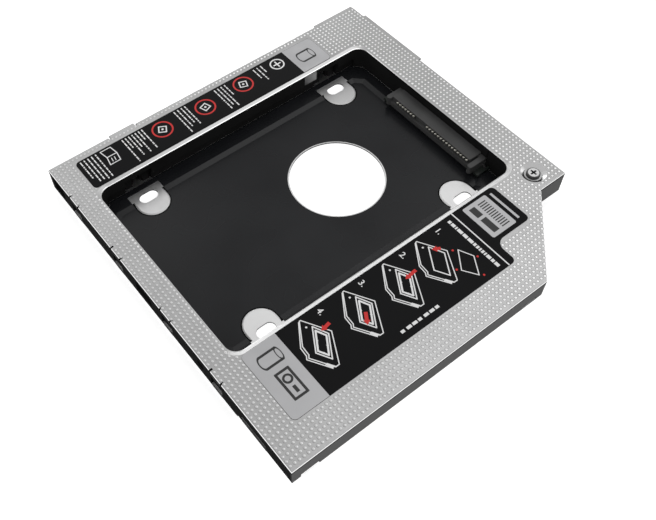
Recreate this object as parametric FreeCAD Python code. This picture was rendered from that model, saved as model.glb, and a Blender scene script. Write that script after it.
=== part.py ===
import FreeCAD, Part
import math
import os

# Laptop drive caddy: a slim tray that carries a 2.5 inch drive in an optical drive's bay.
# Millimetres, +Z up. Pieces are laid out from the front left corner of the cover, with x
# along the front edge, y towards the rear and z up from the resting face. The last step
# moves the origin under the centre of the whole caddy.

V = FreeCAD.Vector

# Outline of the caddy: a square with its rear right corner cut back
plate_width = 122.0
plate_depth = 122.0
body_height = 9.0
rear_cut_depth = 10.5
wing_slant_depth = 22.8
wing_step = 1.5

# Widths beside the bay at the full size: they share what the bay leaves in these proportions
left_rail_part = 17.225
right_rail_part = 11.225
wing_part = 23.2

# Folded sheet of the cover and the base
cover_sheet = 0.5
base_sheet = 0.5
sheet_gap = 0.05
edge_bend = 0.4
skirt_drop = 0.8
relief_width = 0.6
relief_depth = 1.0

# Folded tabs that clasp the front, centre of each as a share of the body's width
front_tab_shares = (0.162, 0.405, 0.668, 0.909)
front_tab_width = 4.4
cover_tab_drop = 2.0
base_tab_rise = 2.2
wing_lip_inset = 2.2
wing_lip_share = 0.448
wing_lip_rise = 2.8

# Edges of the cover that stand out past its folded sides
side_lug_start = 22.0
side_lug_length = 9.0
side_lug_reach = 0.4
rear_ear_length = 17.0
rear_lug_start = 6.5
rear_lug_length = 28.5
rear_lug_reach = 0.6

# The drive that the bay is made for, and where it sits
drive_width = 69.85
drive_side_gap = 0.25
drive_end_gap = 0.4
drive_end_to_rear = 11.4
slot_side_inset = 4.425
slot_front_inset = 14.1
slot_rear_inset = 14.0

# Window in the cover, with a bevelled border, over the open bay
window_front = 7.3
window_corner = 3.8
window_bevel_run = 1.3
window_bevel_drop = 0.3

# Floor of the base: a sunk panel, four raised pads with slots, a round opening
panel_drop = 0.4
panel_bevel = 1.8
ledge_width = 4.3
panel_front_gap = 1.6
panel_rear_gap = 3.6
panel_corner = 2.0
pad_radius = 5.5
pad_rim = 0.5
pad_reach = 12.6
pad_root = 1.2
slot_width = 3.8
slot_length = 6.2
floor_hole_radius = 15.1
floor_hole_from_rear = 39.0
film_sheet = 0.1
film_margin = 0.25
film_hole_margin = 0.4

# Cut-outs in the lower edge of the right wall
wall_notch_start = 2.9
wall_notch_length = 6.0
wall_notch_rise = 1.6
wall_notch_depth = 2.2
wall_slot_length = 5.8
wall_slot_from_corner = 2.4
wall_slot_lift = 0.4
wall_slot_rise = 0.8

# Moulded inner frame
frame_wall = 1.2
frame_web = 1.2
frame_rib = 1.0
rib_pitch = 16.5
rail_lip = 1.0
rail_lip_height = 4.1
rail_lip_end = 2.5
front_bar_depth = 2.8
tab_room = 0.3
end_recess_start = 2.2
end_recess_length = 6.4
end_recess_depth = 1.6
end_recess_height = 4.8
front_window_from_tab = 12.0
front_window_width = 8.0
front_window_height = 4.2
front_port_from_tab = 7.5
front_port_radius = 1.5
front_groove_height = 0.5
front_groove_depth = 0.35

# Pockets in the bay's side walls beside the pads, each with an arch for a side pin
pocket_length = 9.6
pocket_depth = 1.5
pocket_height = 5.6
arch_width = 2.6
arch_height = 4.6
cheek_run = 0.8
cheek_rise = 2.6
cheek_gap = 0.6

# Earthing spring on the left wall
spring_sheet = 0.15
spring_length = 5.0
spring_from_rear = 24.0
spring_drop = 3.7
spring_lap = 3.0

# Adapter board behind and under the drive socket
board_sheet = 0.8
board_lift = 0.3
board_left = 4.6
board_right_inset = 3.575
board_gap = 0.2
board_tongue_margin = 1.9
board_tongue_setback = 0.6
insulator_sheet = 0.1
insulator_margin = 0.5

# Drive socket: seven signal and fifteen power contacts in one row
contact_pitch = 1.27
contact_width = 0.55
contact_sheet = 0.2
contact_gap = 0.05
signal_count = 7
power_count = 15
signal_to_power = 6.35
socket_axis_offset = 6.35
socket_length_y = 5.75
socket_height = 3.4
socket_jaw = 0.8
socket_jaw_height = 1.6
socket_roof = 0.5
socket_slot_depth = 3.9
socket_side = 0.9
socket_left_block = 2.1
socket_flange = 1.4
guide_width = 1.8
guide_gap = 0.6
guide_length = 7.0
guide_height = 2.9
guide_rib_reach = 0.4
arm_length = 6.3
foot_length = 1.3
tip_rise = 0.35
hold_down_sheet = 0.2
hold_down_foot = 1.2
hold_down_rise = 1.6

# Rear plug: seven signal and six power contacts on one tongue
plug_left = 8.0
plug_depth = 8.0
plug_height = 4.4
plug_wall = 0.7
plug_back = 1.4
plug_tongue = 1.2
plug_tongue_inset = 1.0
plug_power_count = 6
plug_power_pitch = 1.0
plug_power_width = 0.5
plug_margin = 1.6
plug_group_gap = 4.6
plug_clearance = 0.8
plug_to_board_front = 1.4

# Small parts soldered to the board
capacitor_size = (2.0, 1.25, 1.0)
capacitor_count = 3
capacitor_pitch = 3.4
capacitor_x = 45.0
resistor_size = (1.6, 0.8, 0.45)
resistor_count = 2
resistor_pitch = 2.6
resistor_x = 60.0
small_part_setback = 2.2

# Screws
cover_screw_from_step = 6.0
cover_screw_from_rear = 7.3
cover_screw_radius = 1.0
cover_screw_length = 4.6
cover_head_radius = 2.1
cover_head_height = 0.8
cover_head_round = 0.25
dish_radius = 3.9
dish_seat_radius = 2.7
dish_spare = 0.05
cross_length = 2.2
cross_width = 0.5
cross_depth = 0.5
base_screw_radius = 0.8
base_screw_length = 4.4
base_head_radius = 1.7
base_head_height = 0.35
base_cross_depth = 0.2
screw_hole_gap = 0.1
boss_radius = 2.4
board_screw_from_plug = 8.78
board_screw_from_end = 2.8
board_screw_setback = 3.6
standoff_radius = 2.0

# Labels on the cover
label_sheet = 0.1
label_corner = 1.5
left_label_x = 3.1
left_label_gap = 1.4
left_label_front = 7.7
left_label_from_rear = 22.3
right_label_gap = 1.3
right_label_margin = 10.0
right_label_front = 8.5
right_label_from_corner = 1.7
right_label_from_rear = 21.0
right_label_step_share = 0.3427
shoulder_round_share = 0.4

# Plan lines worked out from the sizes above
bay_width = drive_width + 2 * drive_side_gap
side_scale = (plate_width - bay_width) / (left_rail_part + right_rail_part + wing_part)
bay_left = left_rail_part * side_scale
bay_right = bay_left + bay_width
drive_axis_x = bay_left + bay_width / 2
step_x = bay_right + right_rail_part * side_scale
wing_side = plate_depth - rear_cut_depth - wing_slant_depth
wing_lip_length = wing_lip_share * (plate_width - step_x)
front_tab_centres = [share * step_x for share in front_tab_shares]
front_window_x = front_tab_centres[2] - front_window_from_tab
front_port_x = front_tab_centres[3] - front_port_from_tab
wall_slot_start = wing_side - wall_slot_from_corner - wall_slot_length
cover_screw_x = step_x - cover_screw_from_step
cover_screw_y = plate_depth - cover_screw_from_rear

# Levels worked out from the sheets
cover_top = body_height - label_sheet
cover_under = cover_top - cover_sheet
wall_top = cover_top - skirt_drop - sheet_gap
frame_inset = sheet_gap + base_sheet + sheet_gap
ledge_under = panel_drop
ledge_top = panel_drop + base_sheet
wing_top = wing_step + base_sheet
web_under = cover_under - frame_web

# Bay, its floor and the compartment behind it
drive_end_y = plate_depth - drive_end_to_rear
bay_rear = drive_end_y + drive_end_gap
lip_under = cover_under - rail_lip_height
slot_rows = (window_front + slot_front_inset, drive_end_y - slot_rear_inset)
slot_offset_x = drive_width / 2 - slot_side_inset
floor_hole_y = bay_rear - floor_hole_from_rear
spring_start = bay_rear - spring_from_rear
panel_left = bay_left + ledge_width + panel_bevel
panel_right = bay_right - ledge_width - panel_bevel
panel_front = window_front + panel_front_gap
panel_rear = bay_rear - panel_rear_gap - panel_bevel
compartment_front = bay_rear + frame_wall
compartment_rear = plate_depth - frame_inset - frame_wall
board_under = ledge_top + board_lift
board_top = board_under + board_sheet
board_front = compartment_front + board_gap
board_rear = compartment_rear - board_gap
board_right = bay_right - board_right_inset
socket_axis_x = drive_axis_x + socket_axis_offset

# Rows of contacts and the two connectors' mouldings
signal_run = (signal_count - 1) * contact_pitch
power_run = (power_count - 1) * contact_pitch
signal_x = socket_axis_x - (signal_run + signal_to_power + power_run) / 2
power_x = signal_x + signal_run + signal_to_power
socket_left = signal_x - socket_side - socket_left_block
socket_right = power_x + power_run + socket_side
socket_rear = bay_rear - sheet_gap
socket_front = socket_rear - socket_length_y
socket_top = board_top + socket_height
slot_roof_z = socket_top - socket_roof
guide_left = socket_right + guide_gap
guide_right = guide_left + guide_width
arm_left = socket_left - guide_width
plug_signal_x = plug_left + plug_wall + plug_margin
plug_power_x = plug_signal_x + signal_run + plug_group_gap
plug_power_run = (plug_power_count - 1) * plug_power_pitch
plug_right = plug_power_x + plug_power_run + plug_margin + plug_wall
plug_front = board_front + plug_to_board_front
plug_rear = plug_front + plug_depth
plug_top = board_top + plug_height
tongue_top = board_top + (plug_height + plug_tongue) / 2

# Board screws and label edges
board_screw_y = board_rear - board_screw_setback
board_screws = (
    (plug_right + board_screw_from_plug, board_screw_y),
    (board_right - board_screw_from_end, board_screw_y),
)
left_label_rear = plate_depth - left_label_from_rear
right_label_left = bay_right + right_label_gap
right_label_right = plate_width - right_label_margin
right_label_step = right_label_step_share * (right_label_right - right_label_left)
right_label_shoulder = wing_side - right_label_from_corner
right_label_rear = plate_depth - right_label_from_rear

# How far cutting shapes reach past what they cut
beyond = 1.0


def box(x0, x1, y0, y1, z0, z1):
    """Block between six planes."""
    return Part.makeBox(x1 - x0, y1 - y0, z1 - z0, V(x0, y0, z0))


def rod(x, y, z0, z1, radius):
    """Upright round bar."""
    return Part.makeCylinder(radius, z1 - z0, V(x, y, z0))


def prism(points, z0, z1):
    """Flat outline through corner points, pushed up from z0 to z1."""
    corners = [V(x, y, z0) for x, y in points]
    return Part.Face(Part.makePolygon(corners + corners[:1])).extrude(V(0, 0, z1 - z0))


def joined(*shapes):
    """One solid from shapes that touch or overlap."""
    return shapes[0].fuse(list(shapes[1:])).removeSplitter()


def upright_edges(shape):
    """Straight edges of a shape that run along Z."""
    return [edge for edge in shape.Edges if abs(edge.tangentAt(edge.FirstParameter).z) > 0.99]


def rounded_box(x0, x1, y0, y1, z0, z1, radius):
    """Block with its four upright edges rounded."""
    block = box(x0, x1, y0, y1, z0, z1)
    return block.makeFillet(radius, upright_edges(block))


def flat_edges(shape, z):
    """Edges of a shape that lie at one height."""
    return [edge for edge in shape.Edges if all(abs(v.Z - z) < 1e-6 for v in edge.Vertexes)]


def moved_in(points, distance):
    """Corners of a counter-clockwise outline with every side moved in by the distance."""
    corners = []
    for index, here in enumerate(points):
        before = points[index - 1]
        after = points[(index + 1) % len(points)]
        side_in = V(here[0] - before[0], here[1] - before[1], 0).normalize()
        side_out = V(after[0] - here[0], after[1] - here[1], 0).normalize()
        normal_in = V(-side_in.y, side_in.x, 0)
        normal_out = V(-side_out.y, side_out.x, 0)
        shift = (normal_in + normal_out) * (distance / (1 + normal_in.dot(normal_out)))
        corners.append((here[0] + shift.x, here[1] + shift.y))
    return corners


def whole_plan():
    """Corners of the caddy's outline, from the front left corner round to the rear left."""
    return [
        (0, 0),
        (plate_width, 0),
        (plate_width, wing_side),
        (step_x, plate_depth - rear_cut_depth),
        (step_x, plate_depth),
        (0, plate_depth),
    ]


def body_plan():
    """Corners of the full-height body, left of the thinner wing."""
    return [(0, 0), (step_x, 0), (step_x, plate_depth), (0, plate_depth)]


def rounded_wire(x0, x1, y0, y1, z, radius):
    """Closed rectangle with rounded corners."""
    return flat_wire(rounded_box(x0, x1, y0, y1, z, z + beyond, radius), z)


def flat_wire(shape, z):
    """Outer wire of a shape's face at one height."""
    return Part.Wire(Part.__sortEdges__(flat_edges(shape, z)))


def tapered(x0, x1, y0, y1, z0, z1, radius, growth):
    """Rounded rectangle that grows evenly from z0 up to z1."""
    low = rounded_wire(x0, x1, y0, y1, z0, radius)
    high = rounded_wire(x0 - growth, x1 + growth, y0 - growth, y1 + growth, z1, radius + growth)
    return Part.makeLoft([low, high], True, True)


def folded_edge(width, lap, drop, sheet):
    """Sheet folded down at its edge, along +x, with its outer face at y = 0 and its top at z = 0."""
    middle = edge_bend * (1 - math.sqrt(0.5))
    section = [
        Part.LineSegment(V(0, lap, 0), V(0, edge_bend, 0)),
        Part.Arc(V(0, edge_bend, 0), V(0, middle, -middle), V(0, 0, -edge_bend)),
        Part.LineSegment(V(0, 0, -edge_bend), V(0, 0, -drop)),
        Part.LineSegment(V(0, 0, -drop), V(0, sheet, -drop)),
        Part.LineSegment(V(0, sheet, -drop), V(0, sheet, -sheet)),
        Part.LineSegment(V(0, sheet, -sheet), V(0, lap, -sheet)),
        Part.LineSegment(V(0, lap, -sheet), V(0, lap, 0)),
    ]
    wire = Part.Wire([curve.toShape() for curve in section])
    return Part.Face(wire).extrude(V(width, 0, 0))


def raised_edge(width, lap, rise, sheet):
    """The same fold turned up, with its underside at z = 0."""
    return folded_edge(width, lap, rise, sheet).mirror(V(0, 0, 0), V(0, 0, 1))


def dish():
    """Pressed dish under the cover screw: the sheet it adds, and the hollow it leaves."""
    depth = cover_head_height + dish_spare
    slope = math.atan2(depth, dish_radius - dish_seat_radius)
    shift = cover_sheet * math.tan(slope / 2)
    seat = cover_top - depth
    centre = V(cover_screw_x, cover_screw_y, seat - cover_sheet)
    sheet = Part.makeCone(dish_seat_radius + shift - cover_sheet * (1 - math.cos(slope)),
                          dish_radius + shift, depth, centre)
    hollow = Part.makeCone(dish_seat_radius, dish_radius, depth, V(cover_screw_x, cover_screw_y, seat))
    return sheet, hollow


def cover_blank():
    """Cover plate with its short folded skirt and rolled edges, before the cut-outs."""
    low = cover_top - skirt_drop
    outer = prism(whole_plan(), low, cover_top)
    outer = outer.makeFillet(edge_bend, flat_edges(outer, cover_top))
    return outer.cut(prism(moved_in(whole_plan(), cover_sheet), low - beyond, cover_under))


def top_cover():
    """Pressed aluminium cover with its window, dish, tabs and lugs."""
    below = cover_top - cover_tab_drop - beyond
    above = cover_top + beyond
    front_skirt = box(cover_sheet, plate_width - cover_sheet, -beyond, cover_sheet, below, cover_under)
    lug_end = rear_lug_start + rear_lug_length
    rear_opening = box(rear_lug_start, lug_end, plate_depth - cover_sheet, plate_depth + beyond,
                       below, cover_under)
    cover = cover_blank().cut([front_skirt, rear_opening])

    cuts = []
    folds = []
    for centre in front_tab_centres:
        start = centre - front_tab_width / 2
        end = centre + front_tab_width / 2
        cuts.append(box(start - relief_width, end + relief_width, -beyond, relief_depth, below, above))
        fold = folded_edge(front_tab_width, relief_depth, cover_tab_drop, cover_sheet)
        fold.translate(V(start, 0, cover_top))
        folds.append(fold)

    side_end = side_lug_start + side_lug_length
    cuts.append(box(-beyond, relief_depth, side_lug_start - relief_width, side_end + relief_width,
                    below, above))
    ear_start = plate_depth - rear_ear_length
    ear_end = plate_depth - edge_bend
    cuts.append(box(-beyond, relief_depth, ear_start, ear_end, below, above))
    folds.append(box(-side_lug_reach, relief_depth, side_lug_start, side_end, cover_under, cover_top))
    folds.append(box(-side_lug_reach, relief_depth, ear_start, ear_end, cover_under, cover_top))
    folds.append(box(rear_lug_start, lug_end, plate_depth - relief_depth, plate_depth + rear_lug_reach,
                     cover_under, cover_top))

    cuts.append(rounded_box(bay_left, bay_right, window_front, bay_rear, below, above, window_corner))
    bevel = tapered(bay_left, bay_right, window_front, bay_rear, cover_top - window_bevel_drop,
                    cover_top, window_corner, window_bevel_run)
    dish_sheet, dish_hollow = dish()
    screw_hole = rod(cover_screw_x, cover_screw_y, below, above, cover_screw_radius + screw_hole_gap)
    cover = cover.cut(cuts).fuse(folds + [dish_sheet])
    return cover.cut([bevel, dish_hollow, screw_hole]).removeSplitter()


def pad_outline(left_side, y, radius, root_x, z):
    """Closed outline of one raised pad: straight at the ledge and half round towards the bay."""
    centre_x = bay_left + pad_reach - pad_radius
    points = [V(root_x, y - radius, z), V(centre_x, y - radius, z), V(centre_x + radius, y, z),
              V(centre_x, y + radius, z), V(root_x, y + radius, z)]
    if not left_side:
        points = [V(2 * drive_axis_x - point.x, point.y, z) for point in points]
    root_low, arc_low, tip, arc_high, root_high = points
    edges = [
        Part.LineSegment(root_low, arc_low),
        Part.Arc(arc_low, tip, arc_high),
        Part.LineSegment(arc_high, root_high),
        Part.LineSegment(root_high, root_low),
    ]
    return Part.Wire([edge.toShape() for edge in edges])


def pad_block(left_side, y, low_radius, high_radius, root_x, z0, z1):
    """Raised pad that narrows upwards, or a hollow of that form."""
    low = pad_outline(left_side, y, low_radius, root_x, z0)
    high = pad_outline(left_side, y, high_radius, root_x, z1)
    return Part.makeLoft([low, high], True, True)


def pad_places():
    """Side and row of the four pads."""
    return [(left_side, y) for left_side in (True, False) for y in slot_rows]


def drive_slots():
    """Slots for the drive's bottom screws, one in each pad, long from front to rear."""
    slots = []
    for left_side, y in pad_places():
        x = drive_axis_x - slot_offset_x if left_side else drive_axis_x + slot_offset_x
        half = slot_width / 2
        reach = slot_length / 2 - half
        top = ledge_top + beyond
        slots.append(joined(
            box(x - half, x + half, y - reach, y + reach, -beyond, top),
            rod(x, y - reach, -beyond, top, half),
            rod(x, y + reach, -beyond, top, half)))
    return slots


def panel_lean(sheet):
    """How far in the sunk panel's upper bend lies from its lower one, for a sheet of this thickness."""
    return sheet * math.tan(math.atan2(panel_drop, panel_bevel) / 2)


def panel_pan(inset, z0, z1):
    """Sunk panel's form from z0 up to z1, with sloped sides and cut corners."""
    corner = panel_corner
    outline = [
        (panel_left + corner, panel_front), (panel_right - corner, panel_front),
        (panel_right, panel_front + corner), (panel_right, panel_rear - corner),
        (panel_right - corner, panel_rear), (panel_left + corner, panel_rear),
        (panel_left, panel_rear - corner), (panel_left, panel_front + corner),
    ]
    rings = []
    for distance, z in ((inset, z0), (inset - panel_bevel, z1)):
        corners = [V(x, y, z) for x, y in moved_in(outline, distance)]
        rings.append(Part.makePolygon(corners + corners[:1]))
    return Part.makeLoft(rings, True, True)


def floor_panel():
    """Sunk panel of the floor: the sheet it adds, and the hollow above it."""
    return panel_pan(-panel_lean(base_sheet), 0, ledge_under), panel_pan(0, base_sheet, ledge_top)


def floor_pads():
    """Raised pads of the floor: the sheet they add, and the hollows under them."""
    lean = math.atan2(panel_drop, pad_rim)
    shift = base_sheet * math.tan(lean / 2)
    root_x = bay_left + ledge_width - beyond
    sheets = []
    hollows = []
    for left_side, y in pad_places():
        sheets.append(pad_block(left_side, y, pad_radius, pad_radius - pad_rim, root_x,
                                base_sheet, ledge_top))
        hollows.append(pad_block(left_side, y, pad_radius - shift, pad_radius - pad_rim - shift,
                                 root_x, 0, ledge_under))
    return sheets, hollows


def base_blank():
    """Folded tray with its raised wing and walls, before the cut-outs."""
    body = prism(moved_in(body_plan(), sheet_gap), ledge_under, wall_top)
    wing = prism(moved_in(whole_plan(), sheet_gap), wing_step, wall_top)
    outer = joined(body, wing)
    outer = outer.makeFillet(edge_bend, flat_edges(outer, ledge_under))
    wing_edges = [edge for edge in flat_edges(outer, wing_step)
                  if edge.CenterOfMass.x > step_x + beyond]
    outer = outer.makeFillet(edge_bend, wing_edges)
    inset = sheet_gap + base_sheet
    body_inside = prism(moved_in(body_plan(), inset), ledge_top, wall_top + beyond)
    wing_inside = prism(moved_in(whole_plan(), inset), wing_top, wall_top + beyond)
    return outer.cut([body_inside, wing_inside])


def bottom_plate():
    """Folded aluminium base: sunk floor with pads, raised wing, walls, front tabs and lip."""
    side_inside = sheet_gap + base_sheet
    open_body_front = box(side_inside, step_x - side_inside, -beyond, side_inside, ledge_top, body_height)
    open_wing_front = box(step_x - side_inside, plate_width - side_inside, -beyond, side_inside,
                          wing_top, body_height)
    plug_opening = box(plug_left - plug_clearance, plug_right + plug_clearance,
                       plate_depth - side_inside - sheet_gap, plate_depth, ledge_top, body_height)
    notch = box(plate_width - wall_notch_depth, plate_width, wall_notch_start,
                wall_notch_start + wall_notch_length, wing_step - beyond, wing_step + wall_notch_rise)
    slot_z = wing_top + wall_slot_lift
    wall_slot = box(plate_width - side_inside - sheet_gap, plate_width, wall_slot_start,
                    wall_slot_start + wall_slot_length, slot_z, slot_z + wall_slot_rise)
    base = base_blank().cut([open_body_front, open_wing_front, plug_opening, notch, wall_slot])

    panel_sheet, panel_hollow = floor_panel()
    pad_sheets, pad_hollows = floor_pads()
    base = base.fuse(panel_sheet).cut([panel_hollow] + pad_hollows).fuse(pad_sheets)

    tabs = []
    for centre in front_tab_centres:
        tab = raised_edge(front_tab_width, side_inside + base_sheet, base_tab_rise, base_sheet)
        tab.translate(V(centre - front_tab_width / 2, 0, ledge_under))
        tabs.append(tab)
    lip = raised_edge(wing_lip_length, side_inside + base_sheet, wing_lip_rise, base_sheet)
    lip.translate(V(step_x + wing_lip_inset, 0, wing_step))
    standoffs = [rod(x, y, ledge_top, board_under, standoff_radius) for x, y in board_screws]
    base = base.fuse(tabs + [lip] + standoffs)

    hole_radius = base_screw_radius + screw_hole_gap
    holes = [rod(x, y, -beyond, board_under + beyond, hole_radius) for x, y in board_screws]
    holes.append(rod(drive_axis_x, floor_hole_y, -beyond, ledge_top, floor_hole_radius))
    return base.cut(holes + drive_slots()).removeSplitter()


def floor_film():
    """Black insulating film laid over the floor of the bay, cut out round the pads and the hole."""
    top = ledge_top + film_sheet
    middle = rounded_box(bay_left + film_margin, bay_right - film_margin, window_front + film_margin,
                         bay_rear - film_margin, base_sheet, top, window_corner)
    side = rail_lip - film_margin
    end = rail_lip_end + film_margin
    under_lips = box(bay_left - side, bay_right + side, window_front + end, bay_rear - end, base_sheet, top)
    blank = joined(middle, under_lips)
    hollow = panel_pan(panel_lean(film_sheet), base_sheet + film_sheet, top)
    floor_sheet = box(bay_left - beyond, bay_right + beyond, window_front, bay_rear, 0, ledge_top)
    floor_sheet = floor_sheet.cut(floor_panel()[1])
    pad_root_x = bay_left + pad_root
    pads = [
        pad_block(left_side, y, pad_radius + film_margin, pad_radius + film_margin, pad_root_x,
                  0, body_height)
        for left_side, y in pad_places()
    ]
    hole = rod(drive_axis_x, floor_hole_y, 0, body_height, floor_hole_radius + film_hole_margin)
    return blank.cut([floor_sheet, hollow, hole] + pads).removeSplitter()


def frame_plan(points):
    """Outline of the frame inside the base's walls, with its front flush under the cover's edge."""
    corners = moved_in(points, frame_inset)
    return [(corners[0][0], sheet_gap), (corners[1][0], sheet_gap)] + corners[2:]


def frame_hollows():
    """Room under the frame's top web, ribs left standing in it."""
    below = ledge_top - beyond
    room = prism(moved_in(frame_plan(whole_plan()), frame_wall), below, web_under)
    front_wall = box(0, plate_width, 0, front_bar_depth, below, web_under)
    side = rail_lip + pocket_depth + frame_wall
    bay = box(bay_left - side, bay_right + side, window_front - frame_wall, bay_rear + frame_wall,
              below, web_under)
    step_wall = box(step_x - frame_inset - frame_wall, step_x - frame_inset, 0, plate_depth,
                    below, web_under)
    cross_ribs = [
        box(0, plate_width, y, y + frame_rib, below, web_under)
        for y in (rib_pitch * (k + 1) for k in range(int(plate_depth / rib_pitch)))
    ]
    long_ribs = [
        box(x, x + frame_rib, 0, plate_depth, below, web_under)
        for x in (rib_pitch * (k + 1) for k in range(int(plate_width / rib_pitch)))
    ]
    return room.cut([front_wall, bay, step_wall] + cross_ribs + long_ribs)


def side_pockets():
    """Pockets in the bay's side walls: the room cut out, and the sloped cheeks put back."""
    cuts = []
    cheeks = []
    outer = rail_lip + pocket_depth
    for left_side, y in pad_places():
        wall_x = bay_left - outer if left_side else bay_right + outer
        inward = 1 if left_side else -1
        x0, x1 = sorted((wall_x, wall_x + inward * outer))
        cuts.append(box(x0, x1, y - pocket_length / 2, y + pocket_length / 2,
                        ledge_top - beyond, ledge_top + pocket_height))
        back = wall_x - inward * (frame_wall + beyond)
        a0, a1 = sorted((back, wall_x))
        arch_round = ledge_top + arch_height - arch_width / 2
        cuts.append(box(a0, a1, y - arch_width / 2, y + arch_width / 2, ledge_top - beyond, arch_round))
        cuts.append(Part.makeCylinder(arch_width / 2, a1 - a0, V(a0, y, arch_round), V(1, 0, 0)))
        for end in (-1, 1):
            near = y + end * (arch_width / 2 + cheek_gap)
            far = y + end * (pocket_length / 2 - cheek_gap)
            y0, y1 = sorted((near, far))
            slope = [V(wall_x, y0, ledge_top), V(wall_x + inward * cheek_run, y0, ledge_top),
                     V(wall_x, y0, ledge_top + cheek_rise)]
            wedge = Part.Face(Part.makePolygon(slope + slope[:1]))
            cheeks.append(wedge.extrude(V(0, y1 - y0, 0)))
    return cuts, cheeks


def front_openings():
    """Room for the tabs and the lip, end recess, window, port and groove in the frame's front face."""
    tab_depth = cover_sheet + sheet_gap
    half = front_tab_width / 2 + tab_room
    cuts = [box(x - half, x + half, -beyond, tab_depth, 0, body_height) for x in front_tab_centres]
    lip_start = step_x + wing_lip_inset
    cuts.append(box(lip_start - tab_room, lip_start + wing_lip_length + tab_room, -beyond, tab_depth,
                    0, wing_step + wing_lip_rise + tab_room))
    middle = (ledge_top + cover_under) / 2
    cuts.append(box(end_recess_start, end_recess_start + end_recess_length, -beyond, end_recess_depth,
                    middle - end_recess_height / 2, middle + end_recess_height / 2))
    cuts.append(box(front_window_x - front_window_width / 2, front_window_x + front_window_width / 2,
                    -beyond, front_bar_depth + beyond,
                    middle - front_window_height / 2, middle + front_window_height / 2))
    cuts.append(Part.makeCylinder(front_port_radius, front_bar_depth + beyond, V(front_port_x, 0, middle),
                                  V(0, 1, 0)))
    cuts.append(box(front_window_x, step_x - 2 * frame_wall, -beyond, sheet_gap + front_groove_depth,
                    ledge_top + front_groove_height, ledge_top + 2 * front_groove_height))
    return cuts


def spring_shape():
    """Leaf against the left wall of the bay, with its upper end bent over the frame."""
    leaf = box(bay_left - spring_sheet, bay_left, spring_start, spring_start + spring_length,
               cover_under - spring_drop, cover_under)
    lap = box(bay_left - spring_lap, bay_left, spring_start, spring_start + spring_length,
              cover_under - spring_sheet, cover_under)
    return joined(leaf, lap)


def inner_frame():
    """Moulded frame: side rails, front bar and connector compartment round the open bay."""
    body = joined(prism(frame_plan(body_plan()), ledge_top, cover_under),
                  prism(frame_plan(whole_plan()), wing_top, cover_under))
    below = ledge_top - beyond
    above = cover_under + beyond
    bay = rounded_box(bay_left, bay_right, window_front, bay_rear, below, above, window_corner)
    undercut = box(bay_left - rail_lip, bay_right + rail_lip, window_front + rail_lip_end,
                   bay_rear - rail_lip_end, below, lip_under)
    room = box(board_left - board_gap, board_right + board_gap, compartment_front, compartment_rear,
               below, web_under)
    tongue_room = box(arm_left - board_tongue_margin - board_gap,
                      guide_right + board_tongue_margin + board_gap, bay_rear - rail_lip,
                      compartment_front + sheet_gap, below, board_top + 2 * contact_sheet)
    leg_room = box(socket_left, socket_right, bay_rear - rail_lip, bay_rear + 2 * contact_sheet,
                   below, socket_top - contact_sheet)
    plug_room = box(plug_left - plug_clearance, plug_right + plug_clearance,
                    compartment_front + beyond, plate_depth, below, plug_top + plug_clearance)
    notch = box(plate_width - wall_notch_depth - sheet_gap, plate_width, wall_notch_start - sheet_gap,
                wall_notch_start + wall_notch_length + sheet_gap, below,
                wing_step + wall_notch_rise + sheet_gap)
    pocket_cuts, cheeks = side_pockets()
    cuts = [bay, undercut, frame_hollows(), room, tongue_room, leg_room, plug_room, notch]
    frame = body.cut(cuts + pocket_cuts)

    bosses = [rod(x, y, board_top, cover_under - sheet_gap, boss_radius) for x, y in board_screws]
    bosses.append(rod(cover_screw_x, cover_screw_y, ledge_top, cover_under - sheet_gap, boss_radius))
    guide_rib = box(guide_left, guide_right, bay_rear - guide_rib_reach, bay_rear + sheet_gap,
                    socket_top + sheet_gap, cover_under)
    frame = frame.fuse(bosses + cheeks + [guide_rib])

    screw_tip = cover_top - cover_head_height - cover_screw_length
    dish_seat = cover_under - cover_head_height - dish_spare
    dish_room = rod(cover_screw_x, cover_screw_y, dish_seat, above, dish_radius + cover_sheet)
    holes = [rod(cover_screw_x, cover_screw_y, screw_tip, above, cover_screw_radius)]
    holes += [rod(x, y, below, base_screw_reach(), base_screw_radius) for x, y in board_screws]
    frame = frame.cut(front_openings() + [dish_room, spring_shape()] + holes)
    return frame.removeSplitter()


def earthing_spring():
    """Bent leaf that earths the drive to the cover."""
    return spring_shape()


def adapter_board():
    """Circuit board: a strip behind the bay and a tongue under the drive socket."""
    strip = box(board_left, board_right, board_front, board_rear, board_under, board_top)
    tongue = box(arm_left - board_tongue_margin, guide_right + board_tongue_margin,
                 socket_front + board_tongue_setback, board_front, board_under, board_top)
    board = joined(strip, tongue)
    radius = base_screw_radius + screw_hole_gap
    return board.cut([rod(x, y, board_under, board_top, radius) for x, y in board_screws])


def board_insulator():
    """Insulating sheet between the board's solder side and the base."""
    sheet = box(board_left + insulator_margin, board_right - insulator_margin, board_front,
                board_rear - insulator_margin, ledge_top, ledge_top + insulator_sheet)
    half = standoff_radius + insulator_margin
    return sheet.cut([box(x - half, x + half, y - half, y + half, 0, body_height) for x, y in board_screws])


def repeated(shape, first_x, pitch, count):
    """Copies of a shape drawn at x = 0, along the row, as one group of separate solids."""
    copies = []
    for index in range(count):
        copy = shape.copy()
        copy.translate(V(first_x + index * pitch, 0, 0))
        copies.append(copy)
    return Part.makeCompound(copies)


def strip_contact(points, width):
    """Contact stamped from sheet: its side outline, in y and z, pushed across its width."""
    corners = [V(-width / 2, y, z) for y, z in points]
    return Part.Face(Part.makePolygon(corners + corners[:1])).extrude(V(width, 0, 0))


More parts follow.
